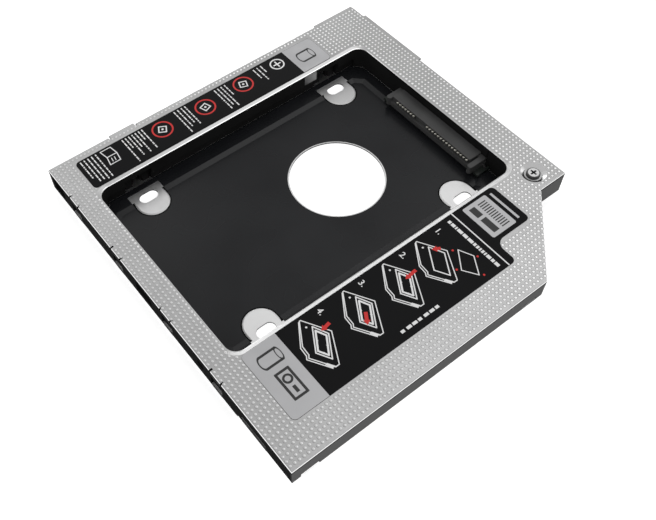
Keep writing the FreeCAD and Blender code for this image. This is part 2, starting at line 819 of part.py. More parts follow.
def socket_contact():
    """Drive socket contact: tip, blade under the roof, leg down the back and solder foot."""
    top = slot_roof_z - contact_gap
    tip = socket_front + contact_gap
    leg = socket_rear + contact_gap
    points = [
        (tip, top - contact_sheet),
        (leg, top - contact_sheet),
        (leg, board_top),
        (leg + contact_sheet + foot_length, board_top),
        (leg + contact_sheet + foot_length, board_top + contact_sheet),
        (leg + contact_sheet, board_top + contact_sheet),
        (leg + contact_sheet, top),
        (tip + 2 * contact_sheet, top),
        (tip + contact_sheet, top + tip_rise),
        (tip, top + tip_rise),
    ]
    return strip_contact(points, contact_width)


def drive_socket_signal_contacts():
    """Seven signal contacts of the drive socket."""
    return repeated(socket_contact(), signal_x, contact_pitch, signal_count)


def drive_socket_power_contacts():
    """Fifteen power contacts of the drive socket."""
    return repeated(socket_contact(), power_x, contact_pitch, power_count)


def guide_post(x0, x1, tip_y, rear_y, z0, z1):
    """Post beside the socket with a half round nose that points to the front."""
    radius = (x1 - x0) / 2
    middle = (x0 + x1) / 2
    return joined(box(x0, x1, tip_y + radius, rear_y, z0, z1), rod(middle, tip_y + radius, z0, z1, radius))


def drive_socket_housing():
    """Socket moulding: block with two slots, lower jaw, rear flange, arm and guide post."""
    block = box(socket_left, socket_right, socket_front + socket_jaw, socket_rear, board_top, socket_top)
    jaw = box(socket_left, socket_right, socket_front, socket_front + socket_jaw, board_top,
              board_top + socket_jaw_height)
    flange = box(arm_left, guide_right, socket_rear - socket_flange, socket_rear, board_top,
                 board_top + guide_height)
    guide = guide_post(guide_left, guide_right, socket_rear - guide_length, socket_rear, board_top,
                       board_top + guide_height)
    arm = guide_post(arm_left, socket_left, socket_rear - arm_length, socket_rear, board_top,
                     board_top + guide_height)
    housing = joined(block, jaw, flange, guide, arm)

    slot_rear = socket_front + socket_jaw + socket_slot_depth
    half = contact_pitch / 2
    cuts = []
    for first_x, run in ((signal_x, signal_run), (power_x, power_run)):
        cuts.append(box(first_x - half, first_x + run + half, socket_front - beyond, slot_rear,
                        board_top + socket_jaw_height, slot_roof_z))
    channel = box(-contact_width / 2 - contact_gap, contact_width / 2 + contact_gap,
                  slot_rear - beyond, socket_rear + beyond,
                  slot_roof_z - contact_sheet - 2 * contact_gap, slot_roof_z)
    cuts.append(repeated(channel, signal_x, contact_pitch, signal_count))
    cuts.append(repeated(channel, power_x, contact_pitch, power_count))
    return housing.cut(cuts).removeSplitter()


def drive_socket_hold_downs():
    """Two bent straps that hold the socket's ends to the board."""
    y0 = socket_rear - socket_flange
    left = joined(
        box(arm_left - hold_down_sheet, arm_left, y0, socket_rear, board_top, board_top + hold_down_rise),
        box(arm_left - hold_down_foot, arm_left, y0, socket_rear, board_top, board_top + hold_down_sheet))
    right = joined(
        box(guide_right, guide_right + hold_down_sheet, y0, socket_rear, board_top,
            board_top + hold_down_rise),
        box(guide_right, guide_right + hold_down_foot, y0, socket_rear, board_top,
            board_top + hold_down_sheet))
    return Part.makeCompound([left, right])


def plug_contact(width):
    """Rear plug contact: strip on the tongue, leg in front of the back wall and solder foot."""
    tip = plug_rear - 2 * plug_tongue_inset
    leg = plug_front - contact_gap
    points = [
        (tip, tongue_top),
        (tip, tongue_top + contact_sheet),
        (leg - contact_sheet, tongue_top + contact_sheet),
        (leg - contact_sheet, board_top + contact_sheet),
        (leg - foot_length, board_top + contact_sheet),
        (leg - foot_length, board_top),
        (leg, board_top),
        (leg, tongue_top),
    ]
    return strip_contact(points, width)


def rear_plug_signal_contacts():
    """Seven signal contacts of the rear plug."""
    return repeated(plug_contact(contact_width), plug_signal_x, contact_pitch, signal_count)


def rear_plug_power_contacts():
    """Six power contacts of the rear plug."""
    return repeated(plug_contact(plug_power_width), plug_power_x, plug_power_pitch, plug_power_count)


def rear_plug_housing():
    """Plug moulding: shroud open to the rear round a two part tongue."""
    shroud = box(plug_left, plug_right, plug_front, plug_rear, board_top, plug_top)
    cavity = box(plug_left + plug_wall, plug_right - plug_wall, plug_front + plug_back,
                 plug_rear + beyond, board_top + plug_wall, plug_top - plug_wall)
    half = plug_margin - plug_wall
    tongue_rear = plug_rear - plug_tongue_inset
    tongues = [
        box(first_x - half, first_x + run + half, plug_front, tongue_rear,
            tongue_top - plug_tongue, tongue_top)
        for first_x, run in ((plug_signal_x, signal_run), (plug_power_x, plug_power_run))
    ]
    housing = joined(shroud.cut(cavity), *tongues)
    signal_channel = box(-contact_width / 2 - contact_gap, contact_width / 2 + contact_gap,
                         plug_front - beyond, plug_front + plug_back + beyond,
                         tongue_top, tongue_top + contact_sheet + contact_gap)
    power_channel = box(-plug_power_width / 2 - contact_gap, plug_power_width / 2 + contact_gap,
                        plug_front - beyond, plug_front + plug_back + beyond,
                        tongue_top, tongue_top + contact_sheet + contact_gap)
    return housing.cut([
        repeated(signal_channel, plug_signal_x, contact_pitch, signal_count),
        repeated(power_channel, plug_power_x, plug_power_pitch, plug_power_count),
    ]).removeSplitter()


def small_parts(size, first_x, pitch, count):
    """Row of soldered block parts on top of the board."""
    length, width, height = size
    y = board_rear - small_part_setback
    block = box(-length / 2, length / 2, y - width / 2, y + width / 2, board_top, board_top + height)
    return repeated(block, first_x, pitch, count)


def board_capacitors():
    """Smoothing capacitors of the power lines."""
    return small_parts(capacitor_size, capacitor_x, capacitor_pitch, capacitor_count)


def board_resistors():
    """Resistors of the signal lines."""
    return small_parts(resistor_size, resistor_x, resistor_pitch, resistor_count)


def cross_recess(x, y, z):
    """Cross cut for a screwdriver, a length of one unit up from z."""
    long_half = cross_length / 2
    slim_half = cross_width / 2
    return [
        box(x - long_half, x + long_half, y - slim_half, y + slim_half, z, z + beyond),
        box(x - slim_half, x + slim_half, y - long_half, y + long_half, z, z + beyond),
    ]


def cover_screw():
    """Pan head screw that holds the cover's rear right corner."""
    seat = cover_top - cover_head_height - dish_spare
    head_top = seat + cover_head_height
    head = rod(cover_screw_x, cover_screw_y, seat, head_top, cover_head_radius)
    head = head.makeChamfer(cover_head_round, flat_edges(head, head_top))
    tip = seat + dish_spare - cover_screw_length
    shank = rod(cover_screw_x, cover_screw_y, tip, seat, cover_screw_radius)
    recess = cross_recess(cover_screw_x, cover_screw_y, head_top - cross_depth)
    return joined(head, shank).cut(recess)


def base_screw_reach():
    """Height that the base screws' tips reach."""
    return ledge_under + base_screw_length


def base_screws():
    """Two low head screws that hold the board between the base and the frame."""
    screws = []
    for x, y in board_screws:
        head = rod(x, y, ledge_under - base_head_height, ledge_under, base_head_radius)
        shank = rod(x, y, ledge_under, base_screw_reach(), base_screw_radius)
        recess = cross_recess(x, y, ledge_under - base_head_height - beyond + base_cross_depth)
        screws.append(joined(head, shank).cut(recess))
    return Part.makeCompound(screws)


def left_label():
    """Long label between the cover's left edge and the window."""
    return rounded_box(left_label_x, bay_left - left_label_gap, left_label_front, left_label_rear,
                       cover_top, cover_top + label_sheet, label_corner)


def right_label():
    """Wide label right of the window, narrower past its shoulder."""
    upper_right = right_label_right - right_label_step
    points = [
        (right_label_left, right_label_front),
        (right_label_right, right_label_front),
        (right_label_right, right_label_shoulder),
        (upper_right, right_label_shoulder),
        (upper_right, right_label_rear),
        (right_label_left, right_label_rear),
    ]
    label = prism(points, cover_top, cover_top + label_sheet)
    shoulder = [edge for edge in upright_edges(label)
                if edge.Vertexes[0].X == upper_right and edge.Vertexes[0].Y == right_label_shoulder]
    label = label.makeFillet(shoulder_round_share * right_label_step, shoulder)
    outer = [edge for edge in upright_edges(label) if edge.Vertexes[0].X in
             (right_label_left, right_label_right) or edge.Vertexes[0].Y == right_label_rear]
    return label.makeFillet(label_corner, outer)


NODES = (
    top_cover,
    bottom_plate,
    inner_frame,
    floor_film,
    earthing_spring,
    adapter_board,
    board_insulator,
    drive_socket_housing,
    drive_socket_signal_contacts,
    drive_socket_power_contacts,
    drive_socket_hold_downs,
    rear_plug_housing,
    rear_plug_signal_contacts,
    rear_plug_power_contacts,
    board_capacitors,
    board_resistors,
    cover_screw,
    base_screws,
    left_label,
    right_label,
)


def export_all():
    """Write each piece as its own STEP file, with the origin under the centre of the caddy."""
    os.makedirs("parts", exist_ok=True)
    centre_x = (plate_width - side_lug_reach) / 2
    centre_y = (plate_depth + rear_lug_reach) / 2
    for make in NODES:
        shape = make()
        shape.translate(V(-centre_x, -centre_y, 0))
        shape.exportStep("parts/" + make.__name__ + ".step")
        print(make.__name__, len(shape.Solids), "solid(s)", round(shape.Volume, 2), shape.isValid())


export_all()
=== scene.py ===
"""Laptop drive caddy: finishes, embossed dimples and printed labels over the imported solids."""
import logging
import math
import random
from dataclasses import dataclass, field, replace
from enum import Enum
from typing import NamedTuple

import bmesh
import bpy
from mathutils import Matrix, Vector


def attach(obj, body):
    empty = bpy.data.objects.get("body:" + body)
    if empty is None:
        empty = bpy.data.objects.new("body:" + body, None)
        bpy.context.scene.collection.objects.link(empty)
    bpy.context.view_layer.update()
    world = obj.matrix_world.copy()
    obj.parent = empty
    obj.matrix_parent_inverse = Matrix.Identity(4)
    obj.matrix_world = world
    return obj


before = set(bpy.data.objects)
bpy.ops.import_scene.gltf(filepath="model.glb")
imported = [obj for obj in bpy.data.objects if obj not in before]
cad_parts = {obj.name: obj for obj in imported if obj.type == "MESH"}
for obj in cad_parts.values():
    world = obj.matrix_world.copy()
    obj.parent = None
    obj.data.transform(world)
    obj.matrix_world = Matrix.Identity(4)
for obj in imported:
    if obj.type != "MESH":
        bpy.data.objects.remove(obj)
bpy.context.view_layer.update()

LOG = logging.getLogger("drive_caddy")

Point = tuple[float, float]
Colour = tuple[float, float, float, float]
Place = tuple[float, float, float]
Socket = bpy.types.NodeSocket


class Plan(NamedTuple):
    """Rectangle in plan, in layout millimetres."""

    left: float
    right: float
    front: float
    rear: float


MM = 0.001
BODY = "root"
CORNER_X = -60.8
CORNER_Y = -61.3
COVER_SIDE = 122.0
COVER_TOP = 8.9
CUT_START = 88.7
CUT_END: Point = (98.8, 111.5)
LABEL_TOP = 9.0
WINDOW = Plan(17.225, 87.575, 7.3, 111.0)
WINDOW_CORNER = 3.8
LEFT_LABEL = Plan(3.1, 15.8, 7.7, 99.7)
RIGHT_LABEL = Plan(88.8, 112.0, 8.5, 87.0)
RIGHT_LABEL_END = Plan(88.8, 104.1, 87.0, 101.0)
BORDER_RUN = 1.3
BORDER_DROP = 0.3
WALL_SLOPE = (0.2, 0.4)
BEND_SLOPE = (0.93, 0.97)
FRONT_SLOPE = (-0.9, -0.7)
CORNER_STEPS = 6


def at(x: float, y: float, z: float = 0.0) -> Vector:
    """Place a point that is laid out in millimetres from the cover's front left corner.

    Args:
        x: Millimetres to the right of the corner.
        y: Millimetres behind the corner.
        z: Millimetres above the resting face.

    Returns:
        The point in metres, in the part's frame.
    """
    return Vector(((x + CORNER_X) * MM, (y + CORNER_Y) * MM, z * MM))


def grey(level: float) -> Colour:
    """Opaque grey of the given linear level."""
    return (level, level, level, 1.0)


def scaled(colour: Colour, share: float) -> Colour:
    """Colour with each channel multiplied by a share."""
    return tuple(value * share for value in colour[:3]) + (1.0,)


def round_of(centre: Point, radius: float, degrees: float, squash: float = 1.0) -> Point:
    """Point round a centre, at a bearing."""
    return (centre[0] + radius * math.cos(math.radians(degrees)),
            centre[1] + radius * squash * math.sin(math.radians(degrees)))


def mesh_of(curve: bpy.types.Curve) -> bpy.types.Mesh:
    """Make the plain mesh of a curve or a text.

    Args:
        curve: Curve data, not used after this.

    Returns:
        The mesh.
    """
    holder = bpy.data.objects.new(curve.name, curve)
    bpy.context.scene.collection.objects.link(holder)
    bpy.context.view_layer.update()
    data = bpy.data.meshes.new_from_object(holder.evaluated_get(bpy.context.evaluated_depsgraph_get()))
    bpy.data.objects.remove(holder)
    return data


def piece_of(name: str, mesh: bmesh.types.BMesh, finish: bpy.types.Material) -> bpy.types.Object:
    """Turn gathered geometry into an object with one finish.

    Args:
        name: Name of the piece.
        mesh: Its geometry, freed here.
        finish: Its material.

    Returns:
        The object, linked to the scene.
    """
    data = bpy.data.meshes.new(name)
    mesh.to_mesh(data)
    mesh.free()
    data.materials.append(finish)
    piece = bpy.data.objects.new(name, data)
    bpy.context.scene.collection.objects.link(piece)
    return piece


class Ink(Enum):
    """Inks that the labels are printed in."""

    WHITE = "white"
    RED = "red"
    SILVER = "silver"
    BLACK = "black"


class SquareEnd(Enum):
    """End of a rounded rectangle that keeps its corners square."""

    NEITHER = "neither"
    FRONT = "front"
    REAR = "rear"


class Graph:
    """Short hand for building one node tree."""

    def __init__(self, tree: bpy.types.NodeTree) -> None:
        """Work on a node tree."""
        self.tree = tree

    def node(self, kind: str, inputs: dict[str | int, object] | None = None,
             **settings: object) -> bpy.types.Node:
        """Add a node, set its properties and feed its inputs.

        Args:
            kind: Blender's identifier of the node.
            inputs: What to feed each named or numbered input.
            **settings: Properties to set on it.

        Returns:
            The new node.
        """
        made = self.tree.nodes.new(kind)
        for key, value in settings.items():
            setattr(made, key, value)
        for key, value in (inputs or {}).items():
            self.feed(made.inputs[key], value)
        return made

    def out(self, kind: str, inputs: dict[str | int, object] | None = None, **settings: object) -> Socket:
        """First output of a new node."""
        return self.node(kind, inputs, **settings).outputs[0]

    def feed(self, socket: Socket, value: object) -> None:
        """Link a socket to an output, or set its default.

        Args:
            socket: Input socket to feed.
            value: Output socket, number, vector or colour.
        """
        if isinstance(value, bpy.types.NodeSocket):
            self.tree.links.new(value, socket)
        else:
            socket.default_value = value

    def axes(self, vector: Socket) -> list[Socket]:
        """Split a vector into its three values."""
        return list(self.node("ShaderNodeSeparateXYZ", {0: vector}).outputs)

    def math(self, operation: str, first: object, second: object = 0.0) -> Socket:
        """Combine two values, each a number or an output."""
        return self.out("ShaderNodeMath", {0: first, 1: second}, operation=operation)

    def both(self, first: object, second: object) -> Socket:
        """Product of two masks."""
        return self.math("MULTIPLY", first, second)

    def above(self, value: Socket, limit: float) -> Socket:
        """One where a value is over a limit."""
        return self.math("GREATER_THAN", value, limit)

    def below(self, value: Socket, limit: float) -> Socket:
        """One where a value is under a limit."""
        return self.math("LESS_THAN", value, limit)

    def apart(self, first: Socket, second: float) -> Socket:
        """Distance of a value from a number."""
        return self.math("ABSOLUTE", self.math("SUBTRACT", first, second))

    def length(self, x: Socket, y: Socket) -> Socket:
        """Length of a vector in plan."""
        return self.math("SQRT", self.math("ADD", self.both(x, x), self.both(y, y)))

    def span(self, source: Socket, low: float, high: float, to_low: float = 0.0,
             to_high: float = 1.0) -> Socket:
        """Map a value from one range to another, clamped.

        Args:
            source: Value to map.
            low: Start of its range.
            high: End of its range.
            to_low: What the start becomes.
            to_high: What the end becomes.

        Returns:
            The mapped value.
        """
        return self.out("ShaderNodeMapRange", {
            "Value": source, "From Min": low, "From Max": high, "To Min": to_low, "To Max": to_high,
        })

    def level(self, factor: object, first: object, second: object) -> Socket:
        """Mix two values by the share of the second."""
        return self.out("ShaderNodeMix", {"Factor": factor, "A": first, "B": second})

    def blend(self, factor: object, first: object, second: object) -> Socket:
        """Mix two colours by the share of the second."""
        mix = self.node("ShaderNodeMix", {"Factor": factor, 6: first, 7: second}, data_type="RGBA")
        return mix.outputs[2]

    def ray_is(self, *kinds: str) -> Socket:
        """One where a ray is of one of some kinds.

        Args:
            *kinds: Names of the Light Path node's outputs.

        Returns:
            The factor.
        """
        path = self.node("ShaderNodeLightPath").outputs
        found = path[kinds[0]]
        for kind in kinds[1:]:
            found = self.math("MAXIMUM", found, path[kind])
        return found


class NodeDesk(Graph):
    """Short hand for building one procedural material on object coordinates."""

    def __init__(self, name: str) -> None:
        """Start a material with a Principled shader.

        Args:
            name: Name of the new material.
        """
        self.material = bpy.data.materials.new(name)
        self.material.use_nodes = True
        super().__init__(self.material.node_tree)
        self.shader = self.tree.nodes["Principled BSDF"]
        self.place = self.node("ShaderNodeTexCoord").outputs["Object"]
        self.x, self.y, self.z = self.axes(self.place)

    def shade(self, inputs: dict[str, object]) -> bpy.types.Material:
        """Feed the shader.

        Args:
            inputs: What to feed each of its named inputs.

        Returns:
            The material.
        """
        for key, value in inputs.items():
            self.feed(self.shader.inputs[key], value)
        return self.material

    def noise(self, scale: float, detail: float = 2.0, roughness: float = 0.55,
              stretch: Place | None = None) -> Socket:
        """Noise in object space.

        Args:
            scale: Features per metre.
            detail: Octaves.
            roughness: How strong the fine octaves are.
            stretch: Scale along each axis, for a grain.

        Returns:
            The noise's factor output.
        """
        place = self.place
        if stretch is not None:
            place = self.out("ShaderNodeMapping", {"Vector": place, "Scale": stretch})
        return self.out("ShaderNodeTexNoise", {
            "Vector": place, "Scale": scale, "Detail": detail, "Roughness": roughness,
        })

    def mottled(self, source: Socket, first: Colour, second: Colour, low: float = 0.35) -> Socket:
        """Colour that wanders between two by a noise; low is where the noise starts to count."""
        return self.blend(self.span(source, low, 1.0 - low), first, second)

    def uneven(self, source: Socket, middle: float, less: float, more: float, low: float = 0.3) -> Socket:
        """Value that wanders about a middle by a noise; low is where the noise starts to count."""
        return self.span(source, low, 1.0 - low, middle - less, middle + more)

    def relief(self, height: Socket, depth_mm: float, strength: float) -> None:
        """Raise the surface by a height value.

        Args:
            height: Height from 0 to 1.
            depth_mm: Height in millimetres at 1.
            strength: Share of the relief that shows.
        """
        self.shade({"Normal": self.out("ShaderNodeBump", {
            "Strength": strength, "Distance": depth_mm * MM, "Height": height,
        })})

    def outside(self, plan: Plan, corner: float) -> Socket:
        """Distance out of a rounded rectangle that stands upright through the part.

        Args:
            plan: The rectangle.
            corner: Its corner radius in millimetres.

        Returns:
            The distance in metres, negative inside.
        """
        middle = at((plan.left + plan.right) / 2, (plan.front + plan.rear) / 2)
        half_x = ((plan.right - plan.left) / 2 - corner) * MM
        half_y = ((plan.rear - plan.front) / 2 - corner) * MM
        x = self.math("SUBTRACT", self.apart(self.x, middle.x), half_x)
        y = self.math("SUBTRACT", self.apart(self.y, middle.y), half_y)
        length = self.length(self.math("MAXIMUM", x, 0.0), self.math("MAXIMUM", y, 0.0))
        inside = self.math("MINIMUM", self.math("MAXIMUM", x, y), 0.0)
        return self.math("SUBTRACT", self.math("ADD", length, inside), corner * MM)


@dataclass(frozen=True)
class Surface:
    """What a material has worked out so far about the face that it dresses."""

    colour: Socket
    rough: Socket
    up: Socket
    rearward: Socket


@dataclass(frozen=True)
class SheetMetal:
    """Satin aluminium sheet with rolling marks and slight mottling."""

    name: str
    level: float
    roughness: float
    edge_tint: float = 0.5
    mottle: float = 0.04
    cloud_scale: float = 70.0
    grain_scale: float = 900.0
    grain_depth: float = 0.006
    grain_strength: float = 0.15
    grain_stretch: Place = (0.3, 1.0, 1.0)

    def start(self) -> tuple[NodeDesk, Surface]:
        """Set up the metal's grain and its tone on flat faces.

        Returns:
            The desk, and the surface so far.
        """
        desk = NodeDesk(self.name)
        grain = desk.noise(self.grain_scale, 4.0, 0.6, self.grain_stretch)
        colour = desk.mottled(desk.noise(self.cloud_scale), grey(self.level * (1.0 - self.mottle)),
                              grey(self.level * (1.0 + self.mottle)))
        desk.shade({"Metallic": 1.0, "Specular Tint": grey(self.edge_tint)})
        desk.relief(grain, self.grain_depth, self.grain_strength)
        normal = desk.axes(desk.node("ShaderNodeNewGeometry").outputs["True Normal"])
        return desk, Surface(colour, desk.uneven(grain, self.roughness, 0.03, 0.05), normal[2], normal[1])


@dataclass(frozen=True, kw_only=True)
class FoldedMetal(SheetMetal):
    """Sheet whose rolled folds carry painted light and whose upright walls carry painted shade."""

    # Painted shade: upright walls are darker than the flat sheet, and front faces darker still.
    wall_shade_level: float
    # Painted light on the bends: bright as a highlight on the cover, darker as shade on the base.
    fold_painted_light: float
    low_edge: float = 1.2
    # Painted highlight: a lighter line along the low edge of front faces.
    low_edge_highlight: float = 0.2
    wall_roughness: float = 0.75
    fold_roughness: float = 0.16
    front_shade_level: float = 0.05
    # Painted shadow: from this height up the walls are darkened where the cover's skirt overhangs them.
    seam_start: float = 7.85
    seam_shadow_level: float = 0.008

    def fold(self, desk: NodeDesk, surface: Surface, kept: object = 0.0) -> bpy.types.Material:
        """Paint light on the rolled folds and shade on the upright walls, and feed the shader.

        Args:
            desk: Desk of the material.
            surface: The surface so far.
            kept: One where a slope keeps the tone and roughness that it has.

        Returns:
            The material.
        """
        steep = desk.math("ABSOLUTE", surface.up)
        wall = desk.span(steep, *WALL_SLOPE, 1.0, 0.0)
        bent = desk.both(desk.span(steep, *BEND_SLOPE, 1.0, 0.0), desk.math("SUBTRACT", 1.0, kept))
        low = desk.below(desk.z, self.low_edge * MM)
        # front faces: painted shade, with a lighter painted highlight along their low edge
        front = desk.blend(low, grey(self.front_shade_level), grey(self.low_edge_highlight))
        facing_front = desk.span(surface.rearward, *FRONT_SLOPE, 1.0, 0.0)
        # painted shade on the upright walls, darker on front faces
        sides = desk.blend(facing_front, grey(self.wall_shade_level), front)
        # painted shadow in the seam under the cover's skirt
        sides = desk.blend(desk.above(desk.z, self.seam_start * MM), sides, grey(self.seam_shadow_level))
        # painted light on the rolled folds
        rolled = desk.blend(bent, surface.colour, grey(self.fold_painted_light))
        rough = desk.level(bent, surface.rough, self.fold_roughness)
        return desk.shade({"Base Color": desk.blend(wall, rolled, sides),
                           "Roughness": desk.level(wall, rough, self.wall_roughness)})


@dataclass(frozen=True)
class CoverMetal(FoldedMetal):
    """Embossed cover sheet, with a smooth bevel round its window whose left and right sides carry a painted
    highlight, brighter on the right, and a thin painted highlight on the window's rim.
    """

    # Painted highlight on the bevel's left and right sides, brighter on the right.
    left_bevel_highlight: float = 0.64
    right_bevel_highlight: float = 0.95
    bevel_roughness: float = 0.3
    bevel_width: float = 1.4
    side_reach: float = 2.5
    rim_width: float = 0.3
    # Painted highlight on the thin rim at the window's edge.
    rim_highlight_level: float = 1.0
    rim_roughness: float = 0.15

    def build(self) -> bpy.types.Material:
        """Make the material.

        Returns:
            The finished material.
        """
        desk, surface = self.start()
        away = desk.outside(WINDOW, WINDOW_CORNER)
        middle = at((WINDOW.left + WINDOW.right) / 2, WINDOW.front)
        half = (WINDOW.right - WINDOW.left) / 2
        at_side = desk.span(desk.apart(desk.x, middle.x), (half - self.side_reach) * MM,
                            (half - self.side_reach / 2) * MM)
        near = desk.span(away, (self.bevel_width - 0.1) * MM, (self.bevel_width + 0.05) * MM, 1.0, 0.0)
        rim = desk.span(away, (self.rim_width - 0.05) * MM, self.rim_width * MM, 1.0, 0.0)
        bevel = desk.both(near, at_side)
        # painted highlight on the bevel, set by side
        painted_bevel = desk.blend(desk.above(desk.x, middle.x), grey(self.left_bevel_highlight), grey(self.right_bevel_highlight))
        # painted highlight on the window's rim
        colour = desk.blend(rim, desk.blend(bevel, surface.colour, painted_bevel), grey(self.rim_highlight_level))
        rough = desk.level(rim, desk.level(bevel, surface.rough, self.bevel_roughness), self.rim_roughness)
        return self.fold(desk, replace(surface, colour=colour, rough=rough))


@dataclass(frozen=True)
class DimpleMetal(SheetMetal):
    """Cover sheet on the embossed dimples: a painted highlight towards their tips over flanks darkened as
    painted shade, fading halfway to the plain plate tone towards the front.
    """

    # Painted highlight on the dimples' tips.
    tip_highlight_level: float = 1.0
    tip_start: float = 0.012
    tip_end: float = 0.034
    # Plain plate tone that the painted highlight and shade fade halfway into towards the front.
    plate_level: float = 0.56
    front_share: float = 0.5
    front_end: float = 45.0
    rear_start: float = 80.0

    def build(self) -> bpy.types.Material:
        """Make the material.

        Returns:
            The finished material.
        """
        desk, surface = self.start()
        ground = desk.span(desk.outside(WINDOW, WINDOW_CORNER), 0.0, BORDER_RUN * MM,
                           (COVER_TOP - BORDER_DROP) * MM, COVER_TOP * MM)
        height = desk.math("SUBTRACT", desk.z, ground)
        tip = desk.span(height, self.tip_start * MM, self.tip_end * MM)
        share = desk.span(desk.y, at(0, self.front_end).y, at(0, self.rear_start).y, self.front_share, 1.0)
        # painted highlight on the tips over the painted shade of the flanks
        embossed = desk.blend(tip, surface.colour, grey(self.tip_highlight_level))
        return desk.shade({"Base Color": desk.blend(share, grey(self.plate_level), embossed),
                           "Roughness": surface.rough})


@dataclass(frozen=True)
class BaseMetal(FoldedMetal):
    """Base sheet: pads whose steep rims carry a painted highlight and whose gentler slopes carry painted
    shade, and a dark line of painted shadow where the film stops short of them.
    """

    # Painted shadow: a dark line on the sunk floor where the film stops short of the pads, and painted shade
    # on the pads' gentler slopes.
    gap_shadow_level: float = 0.008
    sunk_top: float = 0.62
    pad_top: float = 1.0
    # Painted highlight on the pads' steep rims.
    rim_highlight_level: float = 1.0
    rim_roughness: float = 0.6
    upward: float = 0.5
    rim_slope: float = 0.95
    panel_slope: float = 0.995
    hole: Point = (52.4, 72.0)
    hole_rim: float = 16.0

    def build(self) -> bpy.types.Material:
        """Make the material.

        Returns:
            The finished material.
        """
        desk, surface = self.start()
        middle = at(*self.hole)
        away = desk.length(desk.math("SUBTRACT", desk.x, middle.x), desk.math("SUBTRACT", desk.y, middle.y))
        upward = desk.above(surface.up, self.upward)
        sunk = desk.both(desk.below(desk.z, self.sunk_top * MM), upward)
        line = desk.both(sunk, desk.above(away, self.hole_rim * MM))
        pad = desk.both(upward, desk.below(desk.z, self.pad_top * MM))
        rim = desk.both(pad, desk.below(surface.up, self.rim_slope))
        shaded_pad_slopes = desk.both(pad, desk.below(surface.up, self.panel_slope))
        # painted shade on the pads' gentler slopes
        colour = desk.blend(shaded_pad_slopes, surface.colour, grey(self.gap_shadow_level))
        # painted highlight on the pads' steep rims
        colour = desk.blend(rim, colour, grey(self.rim_highlight_level))
        # painted shadow line on the sunk floor beside the film's edge
        colour = desk.blend(line, colour, grey(self.gap_shadow_level))
        rough = desk.level(rim, surface.rough, self.rim_roughness)
        return self.fold(desk, replace(surface, colour=colour, rough=rough), pad)


@dataclass(frozen=True)
class Coat:
    """Finish whose tone and sheen wander a little, over a relief if it has a depth."""

    name: str
    colour: Colour
    roughness: float = 0.4
    metallic: float = 0.0
    specular: float = 0.5
    ior: float | None = None
    patches: float = 120.0
    tones: Point = (0.94, 1.0)
    tone_start: float = 0.35
    sheens: Point = (0.04, 0.06)
    sheen_start: float = 0.3
    texture: Point | None = None
    depth: float = 0.0
    strength: float = 0.4

    def build(self) -> bpy.types.Material:
        """Make the material.

        Returns:
            The finished material.
        """
        desk = NodeDesk(self.name)
        patch = desk.noise(self.patches)
        if self.depth:
            desk.relief(desk.noise(*self.texture) if self.texture else patch, self.depth, self.strength)
        if self.ior:
            desk.shade({"IOR": self.ior})
        first, second = (scaled(self.colour, share) for share in self.tones)
        return desk.shade({
            "Metallic": self.metallic, "Specular IOR Level": self.specular,
            "Base Color": desk.mottled(patch, first, second, self.tone_start),
            "Roughness": desk.uneven(patch, self.roughness, *self.sheens, self.sheen_start),
        })


@dataclass(frozen=True)
class MouldedPlastic(Coat):
    """Moulded plastic with a fine spark eroded texture."""

    ior: float | None = 1.45
    patches: float = 90.0
    tones: Point = (0.85, 1.2)
    tone_start: float = 0.3
    sheens: Point = (0.05, 0.07)
    texture: Point | None = (2600.0, 3.0)
    depth: float = 0.01


@dataclass(frozen=True)
class GlossFilm(Coat):
    """Thin plastic film with a soft sheen and slight waves."""

    colour: Colour = (0.01, 0.0105, 0.012, 1.0)
    roughness: float = 0.26
    patches: float = 35.0
    tones: Point = (0.85, 1.15)
    tone_start: float = 0.3
    sheens: Point = (0.03, 0.05)
    sheen_start: float = 0.35
    depth: float = 0.03
    strength: float = 0.5


@dataclass(frozen=True)
class PlatedMetal(Coat):
    """Plated small part with fine machining marks."""

    roughness: float = 0.22
    metallic: float = 1.0
    patches: float = 3000.0
    tones: Point = (0.9, 1.0)
    sheens: Point = (0.05, 0.08)
    depth: float = 0.004


@dataclass(frozen=True)
class ScrewMetal:
    """Plated screw: bright flat on the cover screw's head, painted shade on its rim, and painted shade in the
    cross recess.
    """

    name: str
    bright: float = 0.72
    # Painted shade: the head's rim and the cross recess are darker than the flat top.
    shaded: float = 0.1
    recess_shade: float = 0.008
    roughness: float = 0.3
    edge_tint: float = 0.5
    axis: Point = (92.8, 114.7)
    head_bottom: float = 7.9
    flat_radius: float = 1.6
    arm_length: float = 1.12
    arm_width: float = 0.34
    soft: float = 0.1
    marks: float = 3000.0

    def build(self) -> bpy.types.Material:
        """Make the material.

        Returns:
            The finished material.
        """
        desk = NodeDesk(self.name)
        middle = at(*self.axis)
        x, y = desk.apart(desk.x, middle.x), desk.apart(desk.y, middle.y)
        flat = desk.span(desk.length(x, y), self.flat_radius * MM, (self.flat_radius + 0.15) * MM, 1.0, 0.0)
        along, across = (
            desk.span(desk.math(pick, x, y), (reach - self.soft) * MM, reach * MM, 1.0, 0.0)
            for pick, reach in (("MAXIMUM", self.arm_length), ("MINIMUM", self.arm_width))
        )
        # painted shade on the head's rim outside the flat
        colour = desk.blend(flat, grey(self.shaded), grey(self.bright))
        # painted shade in the cross recess
        colour = desk.blend(desk.both(along, across), colour, grey(self.recess_shade))
        head = desk.above(desk.z, self.head_bottom * MM)
        return desk.shade({
            "Metallic": 1.0, "Specular Tint": grey(self.edge_tint),
            "Base Color": desk.blend(head, grey(self.bright), colour),
            "Roughness": desk.uneven(desk.noise(self.marks), self.roughness, 0.05, 0.08),
        })


